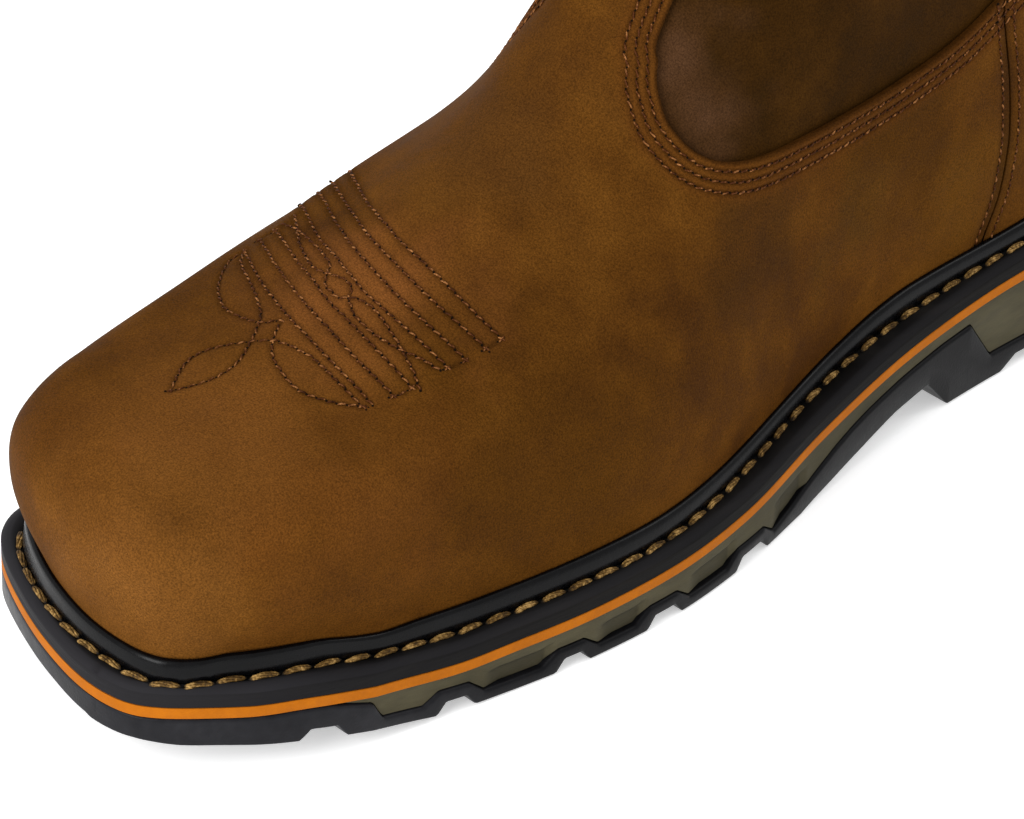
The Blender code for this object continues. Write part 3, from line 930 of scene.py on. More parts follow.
def skin_of(grids: list[np.ndarray]) -> BVHTree:
    """Search tree over the outer faces of the leather.

    Args:
        grids: Outer face of each panel, in millimetres.

    Returns:
        Tree of all the faces.
    """
    points, faces = [], []
    for grid in grids:
        first = len(points)
        rows, count = grid.shape[:2]
        points += [tuple(p) for p in grid.reshape(-1, 3)]
        faces += [[first + i for i in face] for face in band_faces(rows, count, False, False)]
    return BVHTree.FromPolygons(points, faces)


def on_skin(skin: BVHTree, points: np.ndarray) -> tuple[np.ndarray, np.ndarray]:
    """Nearest places on the leather and its normals there."""
    found = [skin.find_nearest(Vector(p)) for p in points]
    return np.array([f[0] for f in found]), np.array([f[1] for f in found])


def under_plan(skin: BVHTree, plan: np.ndarray, top: float = 200.0) -> np.ndarray:
    """Places on the leather straight under plan points."""
    hits = [skin.ray_cast(Vector((x, t, top)), Vector((0.0, 0.0, -1.0)))[0] for x, t in plan]
    return np.array([hit for hit in hits if hit is not None])


def beside(skin: BVHTree, line: np.ndarray, distance: float) -> np.ndarray:
    """Line on the leather at a distance beside another.

    Args:
        skin: The leather's outer faces.
        line: Points of the edge.
        distance: Distance from it, to the right of its run seen from outside where it is positive.

    Returns:
        Points on the leather.
    """
    normal = on_skin(skin, line)[1]
    aside = np.cross(np.gradient(line, axis=0), normal)
    aside /= np.linalg.norm(aside, axis=1)[:, None]
    return on_skin(skin, line + distance * aside)[0]


@dataclass
class Upper:
    """Vamp, counter and shaft, with the lines that they are sewn along."""

    half_columns: int = 186
    row_counts: tuple[int, ...] = (3, 34, 110, 97)
    toe_level: float = 2.4
    fit_level: float = 4.9
    pattern_level: float = 6.1
    knee: float = 0.63
    inner_rows: int = 16
    counter_columns: int = 70
    shaft_steps: int = 110
    shaft_rows: int = 90
    lining_rows: tuple[int, int] = (50, 28)
    lining_levels: tuple[float, float, float] = (4.0, 3.8, -0.4)
    shaft_foot: float = 4.3
    collar_level: float = 12.0
    collar_round: float = 0.9
    collar_turn: float = 0.25
    overlay_thick: float = 1.6
    wall_thick: float = 2.0
    edge_round: float = 1.0
    edge_drop: float = 0.6
    seam_gap_share: float = 0.0011
    seam_guess: float = 0.3
    seam_rounds: int = 25
    seam_top: float = 5.6
    thread_top: float = 5.3
    skirt_level: float = -0.35
    stitch_sink: float = 0.36
    stitch_width: float = 0.65
    band_width: float = 8.2
    band_fade: float = 3.0
    # Painted shade in the stitch troughs, and the reach of the dark raw edge with painted shade along the
    # edges.
    thread_shade: float = 0.8
    edge_wear: float = 1.3
    scoop_rows: tuple[float, ...] = (2.1, 4.3, 6.6)
    seam_rows: tuple[float, ...] = (-2.4, 2.6)
    edge: Curve = Curve((
        (0.000, 6.07), (0.147, 5.98), (0.278, 5.56), (0.351, 5.17), (0.421, 5.09), (0.503, 5.13),
        (0.593, 5.27), (0.682, 5.48), (0.747, 5.72), (0.821, 6.11), (0.880, 6.50), (0.916, 6.85),
        (0.943, 7.35), (0.953, 7.94), (0.959, 8.46), (0.970, 8.85), (1.000, 9.07),
    ))
    seam: Curve = Curve((
        (-0.40, 0.223), (0.08, 0.223), (1.14, 0.218), (2.37, 0.220), (3.88, 0.242), (5.58, 0.300),
    ))
    creases: tuple[Crease, ...] = (
        Crease(Facing.TOP, (-22.0, 112.0), (10.0, 116.0), 0.22, 1.6),
        Crease(Facing.TOP, (-20.0, 117.0), (14.0, 121.5), 0.30, 1.9),
        Crease(Facing.TOP, (-16.0, 124.0), (18.0, 127.5), 0.26, 1.8),
        Crease(Facing.TOP, (-20.0, 130.0), (20.0, 134.0), 0.45, 4.0),
        Crease(Facing.FLANK, (64.0, 24.0), (60.0, 52.0), 1.0, 13.0),
        Crease(Facing.FLANK, (150.0, 40.0), (178.0, 74.0), 0.5, 12.0),
    )
    toe_lines: tuple[Places, ...] = (
        ((-39.0, 112.5), (-32.3, 107.7), (-16.9, 98.3), (-2.9, 92.8), (7.8, 91.5), (19.4, 91.4),
         (30.0, 91.4)),
        ((30.0, 91.4), (29.8, 89.3), (29.6, 87.3)),
        ((-39.0, 107.5), (-32.7, 103.2), (-20.5, 96.3), (-9.3, 90.8), (2.5, 87.8), (12.8, 87.0),
         (29.6, 87.3)),
        ((-40.0, 104.0), (-34.7, 100.5), (-19.5, 91.6), (-7.5, 86.2), (3.7, 83.4), (13.1, 82.5),
         (29.0, 82.2)),
        ((29.0, 82.2), (28.6, 80.1), (28.1, 78.1)),
        ((-40.0, 99.0), (-34.1, 95.1), (-22.3, 88.0), (-13.9, 84.5), (-1.9, 80.2), (7.0, 78.8),
         (28.1, 78.1)),
        ((-34.0, 86.8), (-21.3, 80.4), (-12.8, 77.0), (-3.0, 73.4), (8.2, 71.4), (17.0, 70.2),
         (26.8, 69.2)),
        ((26.8, 69.2), (26.4, 67.1), (25.8, 65.0)),
        ((-34.0, 86.8), (-34.8, 85.0), (-35.1, 83.2)),
        ((-35.1, 83.2), (-24.4, 77.4), (-17.1, 74.1), (-8.1, 70.7), (0.0, 68.5), (13.4, 65.9),
         (25.8, 65.0)),
        ((-34.7, 78.6), (-24.0, 72.3), (-16.2, 68.8), (-8.6, 66.0), (-1.2, 64.1), (10.0, 61.9),
         (23.8, 60.2)),
        ((-34.8, 78.6), (-35.1, 74.7), (-32.0, 69.7), (-27.8, 65.0), (-21.2, 60.7), (-15.3, 59.9),
         (-10.1, 60.8), (-6.9, 63.6), (-5.7, 61.6), (-3.0, 57.7), (2.3, 53.9), (11.4, 51.7), (18.3, 54.2),
         (23.7, 58.4)),
        ((-34.8, 78.6), (-31.3, 74.5), (-22.8, 69.5), (-16.2, 65.6), (-11.0, 61.6), (-5.9, 53.4),
         (-4.0, 48.6), (-4.0, 43.6), (-5.5, 38.9), (-7.7, 34.2)),
        ((-7.7, 34.2), (-10.9, 38.8), (-13.1, 44.2), (-12.2, 48.8), (-8.4, 53.7), (-3.5, 58.2),
         (4.5, 59.9), (9.6, 59.6), (15.4, 59.0), (23.8, 58.3)),
        ((-34.2, 89.2), (-28.7, 88.1), (-19.5, 85.0), (-12.0, 81.8), (-9.7, 79.2), (-7.4, 76.6),
         (-2.1, 75.1), (0.0, 76.6), (5.9, 77.5), (14.5, 75.4), (18.6, 74.1), (23.5, 72.3), (27.4, 70.4)),
        ((-34.3, 92.6), (-28.7, 88.1), (-22.9, 83.8), (-15.0, 79.6), (-9.8, 79.2), (-5.0, 79.6),
         (-1.6, 78.4), (0.0, 76.4), (4.9, 73.7), (12.3, 73.0), (18.6, 74.1), (22.6, 75.4), (26.4, 76.2)),
    )

    def row_levels(self, top: np.ndarray) -> np.ndarray:
        """Ring levels of the rows: shared by all columns up to the toe, then fitted to the top edge.

        Args:
            top: Ring level of the top edge in each column.

        Returns:
            Ring levels, as rows by columns.
        """
        skirt, flank, toe, upper = self.row_counts
        shared = np.concatenate(
            [
                np.linspace(self.skirt_level, 0.0, skirt, endpoint=False),
                np.linspace(0.0, self.toe_level, flank, endpoint=False),
                np.linspace(self.toe_level, self.fit_level, toe, endpoint=False),
            ]
        )
        part = np.linspace(0, 1, upper)[:, None]
        knee = np.minimum(self.pattern_level, self.fit_level + self.knee * (top - self.fit_level))
        low = self.fit_level + (knee - self.fit_level) * part / self.knee
        high = knee + (top - knee) * (part - self.knee) / (1 - self.knee)
        fitted = np.where(part < self.knee, low, high)
        return np.concatenate([np.repeat(shared[:, None], len(top), axis=1), fitted])

    def face(self, columns: int, front: bool) -> np.ndarray:
        """Outer face of the vamp or of the counter, before anything is pressed into it.

        Args:
            columns: Columns in each half.
            front: True for the vamp, False for the counter.

        Returns:
            Points, as rows by columns, from one seam round to the other.
        """
        spread = np.sin(np.linspace(0, np.pi / 2, columns))
        end = 1.0 if front else 0.0
        gap = self.seam_gap_share if front else -self.seam_gap_share
        share = self.seam_guess + (end - self.seam_guess) * spread
        for _ in range(self.seam_rounds):
            seam = self.seam.smooth(self.edge.smooth(share)) + gap
            share = seam + (end - seam) * spread
        level = self.row_levels(self.edge.smooth(share))
        seam = self.seam.smooth(level) + gap
        share = seam + (end - seam) * spread
        first, second = (Side.OUTER, Side.INNER) if front else (Side.INNER, Side.OUTER)
        back = LAST.point(level, share, second)[:, -2::-1]
        return np.concatenate([LAST.point(level, share, first), back], axis=1)

    def edge_line(self, side: Side, start: float, end: float, steps: int = 420) -> np.ndarray:
        """Points along the top edge of one side between two shares."""
        share = np.linspace(start, end, steps)
        return LAST.point(self.edge.smooth(share), share, side)

    def seam_line(self, side: Side, top: float, steps: int = 150) -> np.ndarray:
        """Points along the heel seam of one side, from the welt up to a ring level."""
        level = np.linspace(0.0, top, steps)
        return LAST.point(level, self.seam.smooth(level), side)

    def sewn(self, skin: BVHTree) -> list[np.ndarray]:
        """Every line of thread on the leather.

        Args:
            skin: The leather's outer faces.

        Returns:
            Points of each line.
        """
        lines = [under_plan(skin, drawn(places)) for places in self.toe_lines]
        for side in Side:
            edge, seam = self.edge_line(side, 0.004, 0.999), self.seam_line(side, self.thread_top)
            lines += [beside(skin, edge, -side.value * row) for row in self.scoop_rows]
            lines += [beside(skin, seam, row) for row in self.seam_rows]
        return lines

    def pressed(self, grid: np.ndarray, sewn: list[np.ndarray]) -> tuple[np.ndarray, dict[str, np.ndarray]]:
        """Presses creases, stitch rows and rounded edges into a face.

        Args:
            grid: Outer face.
            sewn: Lines of thread.

        Returns:
            The pressed face and its marks for the leather finish: the bent band, and painted shade in the
            stitch troughs and at the edges, where the raw edge is also dark.
        """
        edges = [self.edge_line(side, 0.0, 1.0) for side in Side]
        to_edge = near_distance(grid, edges)
        to_seam = near_distance(grid, [self.seam_line(side, self.seam_top) for side in Side])
        thread = np.exp(-((near_distance(grid, sewn) / self.stitch_width) ** 2))
        sink = self.stitch_sink * thread
        for away in (to_edge, to_seam):
            sink = sink + self.edge_drop * np.clip(1 - away / self.edge_round, 0, 1) ** 2
        for crease in self.creases:
            sink = sink + crease.sink(grid)
        band = 1 - soft_step((to_edge - self.band_width) / self.band_fade + 0.5)
        # Painted shade along each thread's trough, and the dark raw edge with painted shade near the top
        # edge and the heel seam.
        raw_edge_and_shade = 1 - soft_step(np.minimum(to_edge, to_seam) / self.edge_wear)
        darkened = np.maximum(self.thread_shade * thread, raw_edge_and_shade)
        return grid - sink[..., None] * outward(grid, False), {"band": band, "pressed": darkened}

    def shell(self, name: str, plain: np.ndarray, sewn: list[np.ndarray]) -> np.ndarray:
        """Makes a closed leather panel: the pressed face outside, a plain face inside.

        Args:
            name: Name of the solid that the panel stands for.
            plain: Outer face before pressing, rows rising, columns from one seam round to the other.
            sewn: Lines of thread.

        Returns:
            The pressed face.
        """
        grid, marks = self.pressed(plain, sewn)
        pick = np.linspace(plain.shape[0] - 1, 0, self.inner_rows).astype(int)
        inner = plain[pick] - self.overlay_thick * outward(plain, False)[pick]
        loop = np.concatenate([grid, inner])
        piece = add_mesh(name + "_leather", loop.transpose(1, 0, 2), False, OILED_LEATHER, 60.0)
        for label, values in marks.items():
            raw_edge = np.ones(inner.shape[:2]) * (label == "pressed")
            mark(piece, label, np.concatenate([values, raw_edge]).T)
        declare(piece, "vamp", name)
        return grid

    def build_panels(self) -> list[tuple[np.ndarray, np.ndarray]]:
        """Makes the vamp and the counter.

        Returns:
            Each line of thread on the pressed leather, with the leather's normals.
        """
        vamp = self.face(self.half_columns, True)
        counter = self.face(self.counter_columns, False)
        sewn = self.sewn(skin_of([vamp, counter]))
        skin = skin_of([self.shell("vamp", vamp, sewn), self.shell("counter", counter, sewn)])
        return [on_skin(skin, line) for line in sewn]

    def build_shaft(self) -> None:
        """Makes the shaft wall, with its rolled collar and the lining down to the insole."""
        outer_levels = np.linspace(self.shaft_foot, self.collar_level, self.shaft_rows)
        instep, foot, end = self.lining_levels
        shaft_rows, foot_rows = self.lining_rows
        lined_shaft = np.linspace(self.collar_level, instep, shaft_rows)
        inner_levels = np.concatenate([lined_shaft, np.linspace(foot, end, foot_rows)])
        share = spaced(self.shaft_steps)
        loops = []
        for levels in (outer_levels, inner_levels[::-1]):
            outer = LAST.point(levels[:, None], share, Side.OUTER)
            inner = LAST.point(levels[:, None], share[-2:0:-1], Side.INNER)
            loops.append(np.concatenate([outer, inner], axis=1))
        depth = self.overlay_thick + LAST.gap
        skin = loops[0] - depth * outward(loops[0], True)
        lining = (loops[1] - (depth + self.wall_thick) * outward(loops[1], True))[::-1]
        rim = []
        rise = np.array([0.0, 0.0, self.collar_round])
        for turn in np.linspace(self.collar_turn, np.pi - self.collar_turn, 5):
            middle, half = (skin[-1] + lining[0]) / 2, (skin[-1] - lining[0]) / 2
            rim.append(middle + half * math.cos(turn) + rise * math.sin(turn))
        skin[-1] -= rise
        lining[0] -= rise
        loop = np.concatenate([skin, np.stack(rim) - rise, lining])
        declare(add_mesh("shaft_leather_wall", loop, True, SHAFT_LEATHER, 80.0), "upper", "upper")


@dataclass
class WeltStrip:
    """Storm welt with its stitched ledge and bead.

    The rim's rows are inset and rise, those of groove and foot are outset and rise, and those of the
    crown are outset and ring level.
    """

    steps: int = 230
    stitch_outset: float = 2.75
    stitch_height: float = 4.6
    follow_from: float = 4.0
    follow_run: float = 3.5
    rim: Places = (
        (5.0, 0.0), (0.0, 0.0), (0.0, 1.2), (0.0, 2.4), (0.0, 3.15), (0.14, 3.35), (0.85, 4.0), (1.6, 4.42),
        (2.1, 4.5),
    )
    groove: Places = ((3.25, 4.5), (3.15, 4.35), (2.6, 4.2), (1.9, 4.25), (1.5, 4.2), (1.5, 0.0))
    foot: Places = ((-0.6, 4.0), (1.6, 4.0), (1.95, 4.4), (2.15, 5.2), (2.2, 6.2), (2.1, 7.1))
    crown: Places = ((1.85, 0.0), (1.5, 0.06), (1.0, 0.1), (0.4, 0.12), (-0.1, 0.11), (-0.6, 0.0))
    # Painted light on the trimmed edge: the wall greyer towards the toe, the chamfer and ledge top greyer
    # still, fading towards the heel.
    wall_painted_light: Curve = Curve((
        (8.0, 0.5), (20.0, 0.35), (40.0, 0.2), (72.0, 0.12), (110.0, 0.05), (150.0, 0.0),
    ))
    top_painted_light: Curve = Curve(((20.0, 0.75), (36.0, 0.5), (65.0, 0.42), (125.0, 0.3)))
    top_light_fade: tuple[float, ...] = (1.0, 1.0, 0.9, 0.5)

    def ring(self, outset: float, rise: float) -> np.ndarray:
        """Line round the upper's feather edge.

        Args:
            outset: Distance outside the feather edge.
            rise: Height above the welt's floor.

        Returns:
            Points of the closed line.
        """
        loop = LAST.ring_loop(self.steps, 0.0, outset)
        follow = min(max((rise - self.follow_from) / self.follow_run, 0.0), 1.0)
        loop[:, 2] = LAST.welt_floor(loop[:, 1]) + rise + follow * LAST.feather.smooth(loop[:, 1])
        return loop

    def build(self) -> None:
        """Makes the trimmed ledge and the glossy bead."""
        loops = [LAST.sole_loop(self.steps, inset, rise) for inset, rise in self.rim]
        grid = np.stack(loops + [self.ring(outset, rise) for outset, rise in self.groove])
        ledge = add_mesh("welt_ledge", grid, True, TRIMMED_EDGE, 50.0)
        end = len(self.rim)
        turn = end - len(self.top_light_fade)
        # The corner mark is painted light: greyer wall and chamfer where more light falls, most at the toe.
        corner = np.zeros(grid.shape[:2])
        corner[:turn] = self.wall_painted_light.straight(grid[:turn, :, 1])
        corner[turn:end] = np.array(self.top_light_fade)[:, None] * self.top_painted_light.straight(grid[turn:end, :, 1])
        mark(ledge, "corner", corner)
        declare(ledge, "welt", "welt")
        loops = [self.ring(outset, rise) for outset, rise in self.foot]
        grid = np.stack(loops + [LAST.ring_loop(self.steps, level, outset) for outset, level in self.crown])
        declare(add_mesh("welt_bead", grid, True, WELT_BEAD, 70.0), "welt")

    def stitch_line(self) -> tuple[np.ndarray, np.ndarray]:
        """Closed path of the welt stitches and the direction that they face."""
        loop = self.ring(self.stitch_outset, self.stitch_height)
        loop = np.concatenate([loop, loop[:1]])
        return loop, np.broadcast_to(np.array([0.0, 0.0, 1.0]), loop.shape)


@dataclass
class StitchTree:
    """Geometry Nodes tree that lays tapered thread stitches, with needle holes, along marked lines."""

    name: str
    finish: Finish
    pitch: float
    length: float
    ply: float
    plies: int
    spread: float
    twist: float
    arch: float
    slant: float
    hole: float
    flat: float = 1.0
    segments: int = 7
    sides: int = 5
    seed: int = 7
    stray: float = 0.07
    hole_depth: float = 0.3
    hole_sink: float = 0.2
    end_taper: float = 0.93

    # Sums that shape one ply: name of the result, operation and what it works on.
    sums: tuple[tuple, ...] = (
        ("middle", "MULTIPLY_ADD", "along", 2.0, -1.0),
        ("square", "MULTIPLY", "middle", "middle"),
        ("fourth", "MULTIPLY", "square", "square"),
        ("thinned", "MULTIPLY", "fourth", "end taper"),
        ("left", "SUBTRACT", 1.0, "thinned"),
        ("taper", "SQRT", "left"),
        ("angle", "MULTIPLY_ADD", "along", "twist", "phase"),
        ("reach", "MULTIPLY", "spread", "taper"),
        ("cosine", "COSINE", "angle"),
        ("aside", "MULTIPLY", "cosine", "reach"),
        ("sine", "SINE", "angle"),
        ("raised", "MULTIPLY", "sine", "reach"),
        ("lift", "MULTIPLY", "raised", "flat"),
        ("half", "MULTIPLY", "middle", 0.5),
        ("run", "MULTIPLY", "half", "length"),
        ("across", "MULTIPLY_ADD", "run", "slant", "aside"),
        ("bow", "SUBTRACT", 0.5, "square"),
        ("height", "MULTIPLY_ADD", "bow", "arch", "lift"),
    )

    def sizes(self) -> dict[str, float]:
        """The tree's named inputs, in metres, turns in radians and shares."""
        return {
            "Pitch": self.pitch * MM,
            "Length": self.length * MM,
            "Ply": self.ply * MM,
            "Spread": self.spread * MM,
            "Twist": self.twist * 2 * math.pi,
            "Arch": self.arch * MM,
            "Slant": self.slant,
            "Hole": self.hole * MM,
        }

    def tree(self) -> Any:
        """Builds the tree: lines to curves, even spacing, one stitch and one hole at each place.

        Returns:
            The node group.
        """
        group = bpy.data.node_groups.new(self.name, "GeometryNodeTree")
        group.interface.new_socket("Lines", in_out="INPUT", socket_type="NodeSocketGeometry")
        for label in self.sizes():
            group.interface.new_socket(label, in_out="INPUT", socket_type="NodeSocketFloat")
        group.interface.new_socket("Stitches", in_out="OUTPUT", socket_type="NodeSocketGeometry")
        given = put(group, "NodeGroupInput").outputs
        curve = put(group, "GeometryNodeMeshToCurve", {"Mesh": given["Lines"]}).outputs[0]
        links = {"Curve": curve, "Length": given["Pitch"]}
        spots = put(group, "GeometryNodeResampleCurve", links, mode="LENGTH").outputs[0]
        stitch = put(group, "GeometryNodeJoinGeometry")
        for number in range(self.plies):
            phase = 2 * math.pi * number / self.plies
            group.links.new(self.strand(group, given, phase), stitch.inputs[0])
        laid = [(stitch.outputs[0], self.finish)]
        if self.hole:
            links = {"Vertices": 6, "Depth": self.hole_depth * MM, "Radius Bottom": given["Hole"]}
            cone = put(group, "GeometryNodeMeshCone", links)
            tip = put(group, "ShaderNodeMath", {0: given["Hole"], 1: 0.7}, operation="MULTIPLY").outputs[0]
            group.links.new(tip, cone.inputs["Radius Top"])
            half = put(group, "ShaderNodeMath", {0: given["Pitch"], 1: 0.5}, operation="MULTIPLY").outputs[0]
            aside = put(group, "ShaderNodeCombineXYZ", {0: half, 2: -self.hole_sink * MM}).outputs[0]
            moved = put(group, "GeometryNodeTransform", {"Geometry": cone.outputs[0], "Translation": aside})
            laid.append((moved.outputs[0], NEEDLE_HOLE))
        whole = put(group, "GeometryNodeJoinGeometry")
        turn = self.turned(group)
        for shape, finish in laid:
            links = {"Points": spots, "Instance": shape, "Rotation": turn}
            placed = put(group, "GeometryNodeInstanceOnPoints", links).outputs[0]
            real = put(group, "GeometryNodeRealizeInstances", {"Geometry": placed}).outputs[0]
            links = {"Geometry": real, "Material": finish.material()}
            group.links.new(put(group, "GeometryNodeSetMaterial", links).outputs[0], whole.inputs[0])
        put(group, "NodeGroupOutput", {"Stitches": whole.outputs[0]})
        return group

    def turned(self, group: Any) -> Any:
        """Rotation that stands a stitch on the surface and runs it along its line, a little unevenly.

        Args:
            group: The node group.

        Returns:
            Output socket with the rotation.
        """
        up = put(group, "GeometryNodeInputNamedAttribute", {"Name": "up"}, data_type="FLOAT_VECTOR")
        links = {"Vector": up.outputs[0]}
        stand = put(group, "FunctionNodeAlignRotationToVector", links, axis="Z").outputs[0]
        links = {0: (-self.stray,) * 3, 1: (self.stray,) * 3, "Seed": self.seed}
        wander = put(group, "FunctionNodeRandomValue", links, data_type="FLOAT_VECTOR").outputs[0]
        along = put(group, "GeometryNodeInputTangent").outputs[0]
        lean = put(group, "ShaderNodeVectorMath", {0: along, 1: wander}, operation="ADD").outputs[0]
        links = {"Rotation": stand, "Vector": lean}
        return put(group, "FunctionNodeAlignRotationToVector", links, axis="X", pivot_axis="Z").outputs[0]

    def strand(self, group: Any, given: Any, phase: float) -> Any:
        """One ply of the thread: an arched line wound round the stitch's axis, thin at both ends.

        Args:
            group: The node group.
            given: Outputs of the group's input node.
            phase: Angle at which this ply starts.

        Returns:
            Output socket with the ply's mesh.
        """
        links = {"Start": (-1.0, 0.0, 0.0), "End": (1.0, 0.0, 0.0)}
        spine = put(group, "GeometryNodeCurvePrimitiveLine", links)
        links = {"Curve": spine.outputs[0], "Count": self.segments}
        fine = put(group, "GeometryNodeResampleCurve", links, mode="COUNT").outputs[0]
        along = put(group, "GeometryNodeSplineParameter").outputs["Factor"]
        known = {name.lower(): given[name] for name in self.sizes()}
        known |= {"along": along, "phase": phase, "end taper": self.end_taper, "flat": self.flat}
        for name, operation, *values in self.sums:
            links = {number: known.get(value, value) for number, value in enumerate(values)}
            known[name] = put(group, "ShaderNodeMath", links, operation=operation).outputs[0]
        spot = {0: known["run"], 1: known["across"], 2: known["height"]}
        spot = put(group, "ShaderNodeCombineXYZ", spot).outputs[0]
        bent = put(group, "GeometryNodeSetPosition", {"Geometry": fine, "Position": spot}).outputs[0]
        taper = known["taper"]
        links = {"Geometry": bent, "Name": "swell", "Value": taper}
        bent = put(group, "GeometryNodeStoreNamedAttribute", links).outputs[0]
        links = {"Resolution": self.sides, "Radius": given["Ply"]}
        ring = put(group, "GeometryNodeCurvePrimitiveCircle", links)
        links = {"Curve": bent, "Profile Curve": ring.outputs[0], "Scale": taper, "Fill Caps": True}
        tube = put(group, "GeometryNodeCurveToMesh", links).outputs[0]
        return put(group, "GeometryNodeSetShadeSmooth", {"Geometry": tube}).outputs[0]

    def lay(self, name: str, lines: list[tuple[np.ndarray, np.ndarray]]) -> bpy.types.Object:
        """Lays stitches along lines.

        Args:
            name: Name of the piece.
            lines: Points of each line in millimetres and the directions that its stitches face.

        Returns:
            Plain mesh of all the stitches.
        """
        points, ups, edges = [], [], []
        for line, up in lines:
            first = sum(len(p) for p in points)
            points.append((line - (0.0, LAST.length / 2, 0.0)) * MM)
            ups.append(up)
            edges += [(first + i, first + i + 1) for i in range(len(line) - 1)]
        guide = bpy.data.meshes.new(name + "_lines")
        guide.from_pydata(np.concatenate(points).tolist(), edges, [])
        mark = guide.attributes.new("up", "FLOAT_VECTOR", "POINT")
        mark.data.foreach_set("vector", np.concatenate(ups).astype(np.float32).ravel())
        carrier = bpy.data.objects.new(name + "_lines", guide)
        bpy.context.collection.objects.link(carrier)
        modifier = carrier.modifiers.new("stitches", "NODES")
        modifier.node_group = self.tree()
        sizes = self.sizes()
        for item in modifier.node_group.interface.items_tree:
            if item.in_out == "INPUT" and item.name in sizes:
                modifier[item.identifier] = sizes[item.name]
        graph = bpy.context.evaluated_depsgraph_get()
        mesh = bpy.data.meshes.new_from_object(carrier.evaluated_get(graph), depsgraph=graph)
        mesh.name = name
        bpy.data.objects.remove(carrier)
        piece = bpy.data.objects.new(name, mesh)
        bpy.context.collection.objects.link(piece)
        return piece


@dataclass
class SoleUnit:
    """Outsole, midsole and stripe."""

    notch_rise: float = 2.9
    tread_bevel: float = 0.45
    inner_rise: float = 1.4
    bump_before: float = 3.2
    bump_after: float = 2.4
    bump_ramp: float = 3.8
    centre_lag: float = 14.0
    centre_share: float = 0.44
    midsole_inset: float = 0.7
    pocket_depth: float = 0.9
    ribbon_round: float = 1.0
    bumper_end: float = 33.0
    bumper_fall: float = 43.0
    bumper_drop: float = 1.6
    midsole_start: float = 37.0
    bumper_step: float = 2.4
    front_notches: int = 5
    lag_from: float = 40.0
    lag_to: float = 170.0
    inner_rise_at: float = 6.0
    inner_rise_reach: float = 7.0
    # Painted shade on the rubber: darker towards the heel, darkest on the heel breast.
    heel_shade_most: float = 0.8
    heel_shade_from: float = 36.0
    heel_shade_run: float = 60.0
    breast_shade: float = 0.95
    breast_from: float = 209.0
    breast_to: float = 226.0
    breast_in: float = 5.0
    breast_out: float = 3.0
    breast_rows: int = 4
    ribbon_width: float = 4.5
    round_share: float = 0.3
    lug_slope: float = 2.5
    end_steps: int = 260
    toe_zone: float = 30.0
    heel_zone: float = 25.0
    station_step: float = 0.6
    pocket_top: float = 0.34
    pocket_ease: float = 0.14
    pocket_after: float = 2.2
    pocket_over: float = 0.4
    pocket_slope: float = 4.5
    pocket_bevel: float = 2.4
    pocket_shade: float = 0.42
    lip_shade: float = 0.3
    lip_at: float = 0.47
    lip_reach: float = 0.06
    layer_lap: float = 3.0
    foam_lap: float = 5.0
    arch_start: Notch = Notch(170.0, 180.0)
    notches: tuple[Notch, ...] = (
        Notch(27.0, 37.0),
        Notch(58.5, 68.0),
        Notch(88.0, 97.0),
        Notch(113.0, 123.5),
        Notch(142.0, 154.0),
        Notch(242.0, 256.0, 4.7),
        Notch(272.0, 286.0, 4.7),
    )
    tread: Curve = Curve((
        (0.0, 9.6), (6.0, 8.5), (15.0, 7.5), (27.0, 6.4), (37.0, 4.9), (58.0, 1.0), (70.0, 0.2),
        (78.0, 0.0), (168.0, 0.0), (180.0, 2.0), (192.0, 4.4), (204.0, 7.2), (216.0, 8.8), (223.5, 0.0),
        (312.0, 0.0),
    ))
    ribbon: Curve = Curve((
        (45.5, 6.2), (58.0, 4.1), (70.0, 3.0), (78.0, 2.8), (157.0, 2.8), (164.0, 4.3), (170.0, 6.3),
        (182.0, 10.2), (188.0, 11.8), (194.0, 13.0), (206.0, 15.0), (220.5, 17.0), (230.3, 17.9),
        (238.0, 6.6), (312.0, 6.4),
    ))

    def lift(
        self,
        at: np.ndarray,
        notches: tuple[Notch, ...],
        before: float = 0.0,
        after: float = 0.0,
        slope: float = 0.0,
    ) -> np.ndarray:
        """Share from 0 on a lug to 1 in a notch.

        Args:
            at: Places along the sole.
            notches: The notches to follow.
            before: Distance by which the notch starts early.
            after: Distance by which it ends late.
            slope: Length of the ramp at each end, or 0 for the notch's own.

        Returns:
            One share for each place.
        """
        rise = np.zeros_like(at)
        for notch in notches:
            ramp = np.minimum(at - notch.start + before, notch.end + after - at) / (slope or notch.ramp)
            rise = np.maximum(rise, np.clip(ramp, 0, 1))
        return rise

    def outsole_top(self, at: np.ndarray) -> np.ndarray:
        """Upper side of the outsole: the bumper at the toe, then the ribbon along the edge.

        Args:
            at: Places along the sole.

        Returns:
            One height for each place.
        """
        under = LAST.stripe.smooth(at) - LAST.gap
        fall = np.clip((at - self.bumper_end) / (self.bumper_fall - self.bumper_end), 0, 1)
        front = self.notches[: self.front_notches]
        bump = self.lift(at, front, self.bump_before, self.bump_after, self.bump_ramp)
        ribbon = self.ribbon.straight(at) + self.notch_rise * bump
        low = np.minimum(ribbon, under - self.bumper_drop)
        step = np.clip((at - self.bumper_fall) / self.bumper_step, 0, 1)
        bumper = under - self.bumper_drop * fall
        return bumper + (low - bumper) * step

    def stations(self, start: float) -> np.ndarray:
        """Places along the sole, close together at its rounded ends.

        Args:
            start: First place.

        Returns:
            Places from the start to the heel.
        """
        ends = LAST.toe_start + spaced(self.end_steps) * (LAST.length - LAST.toe_start)
        first, last = self.toe_zone, LAST.length - self.heel_zone
        run = np.arange(first, last, self.station_step)
        places = np.unique(np.concatenate([ends[(ends < first) | (ends > last)], run]))
        places = places[(places >= start) & (places < LAST.length - 0.01)]
        return np.concatenate([[start], places[places > start + 0.02], [LAST.length]])

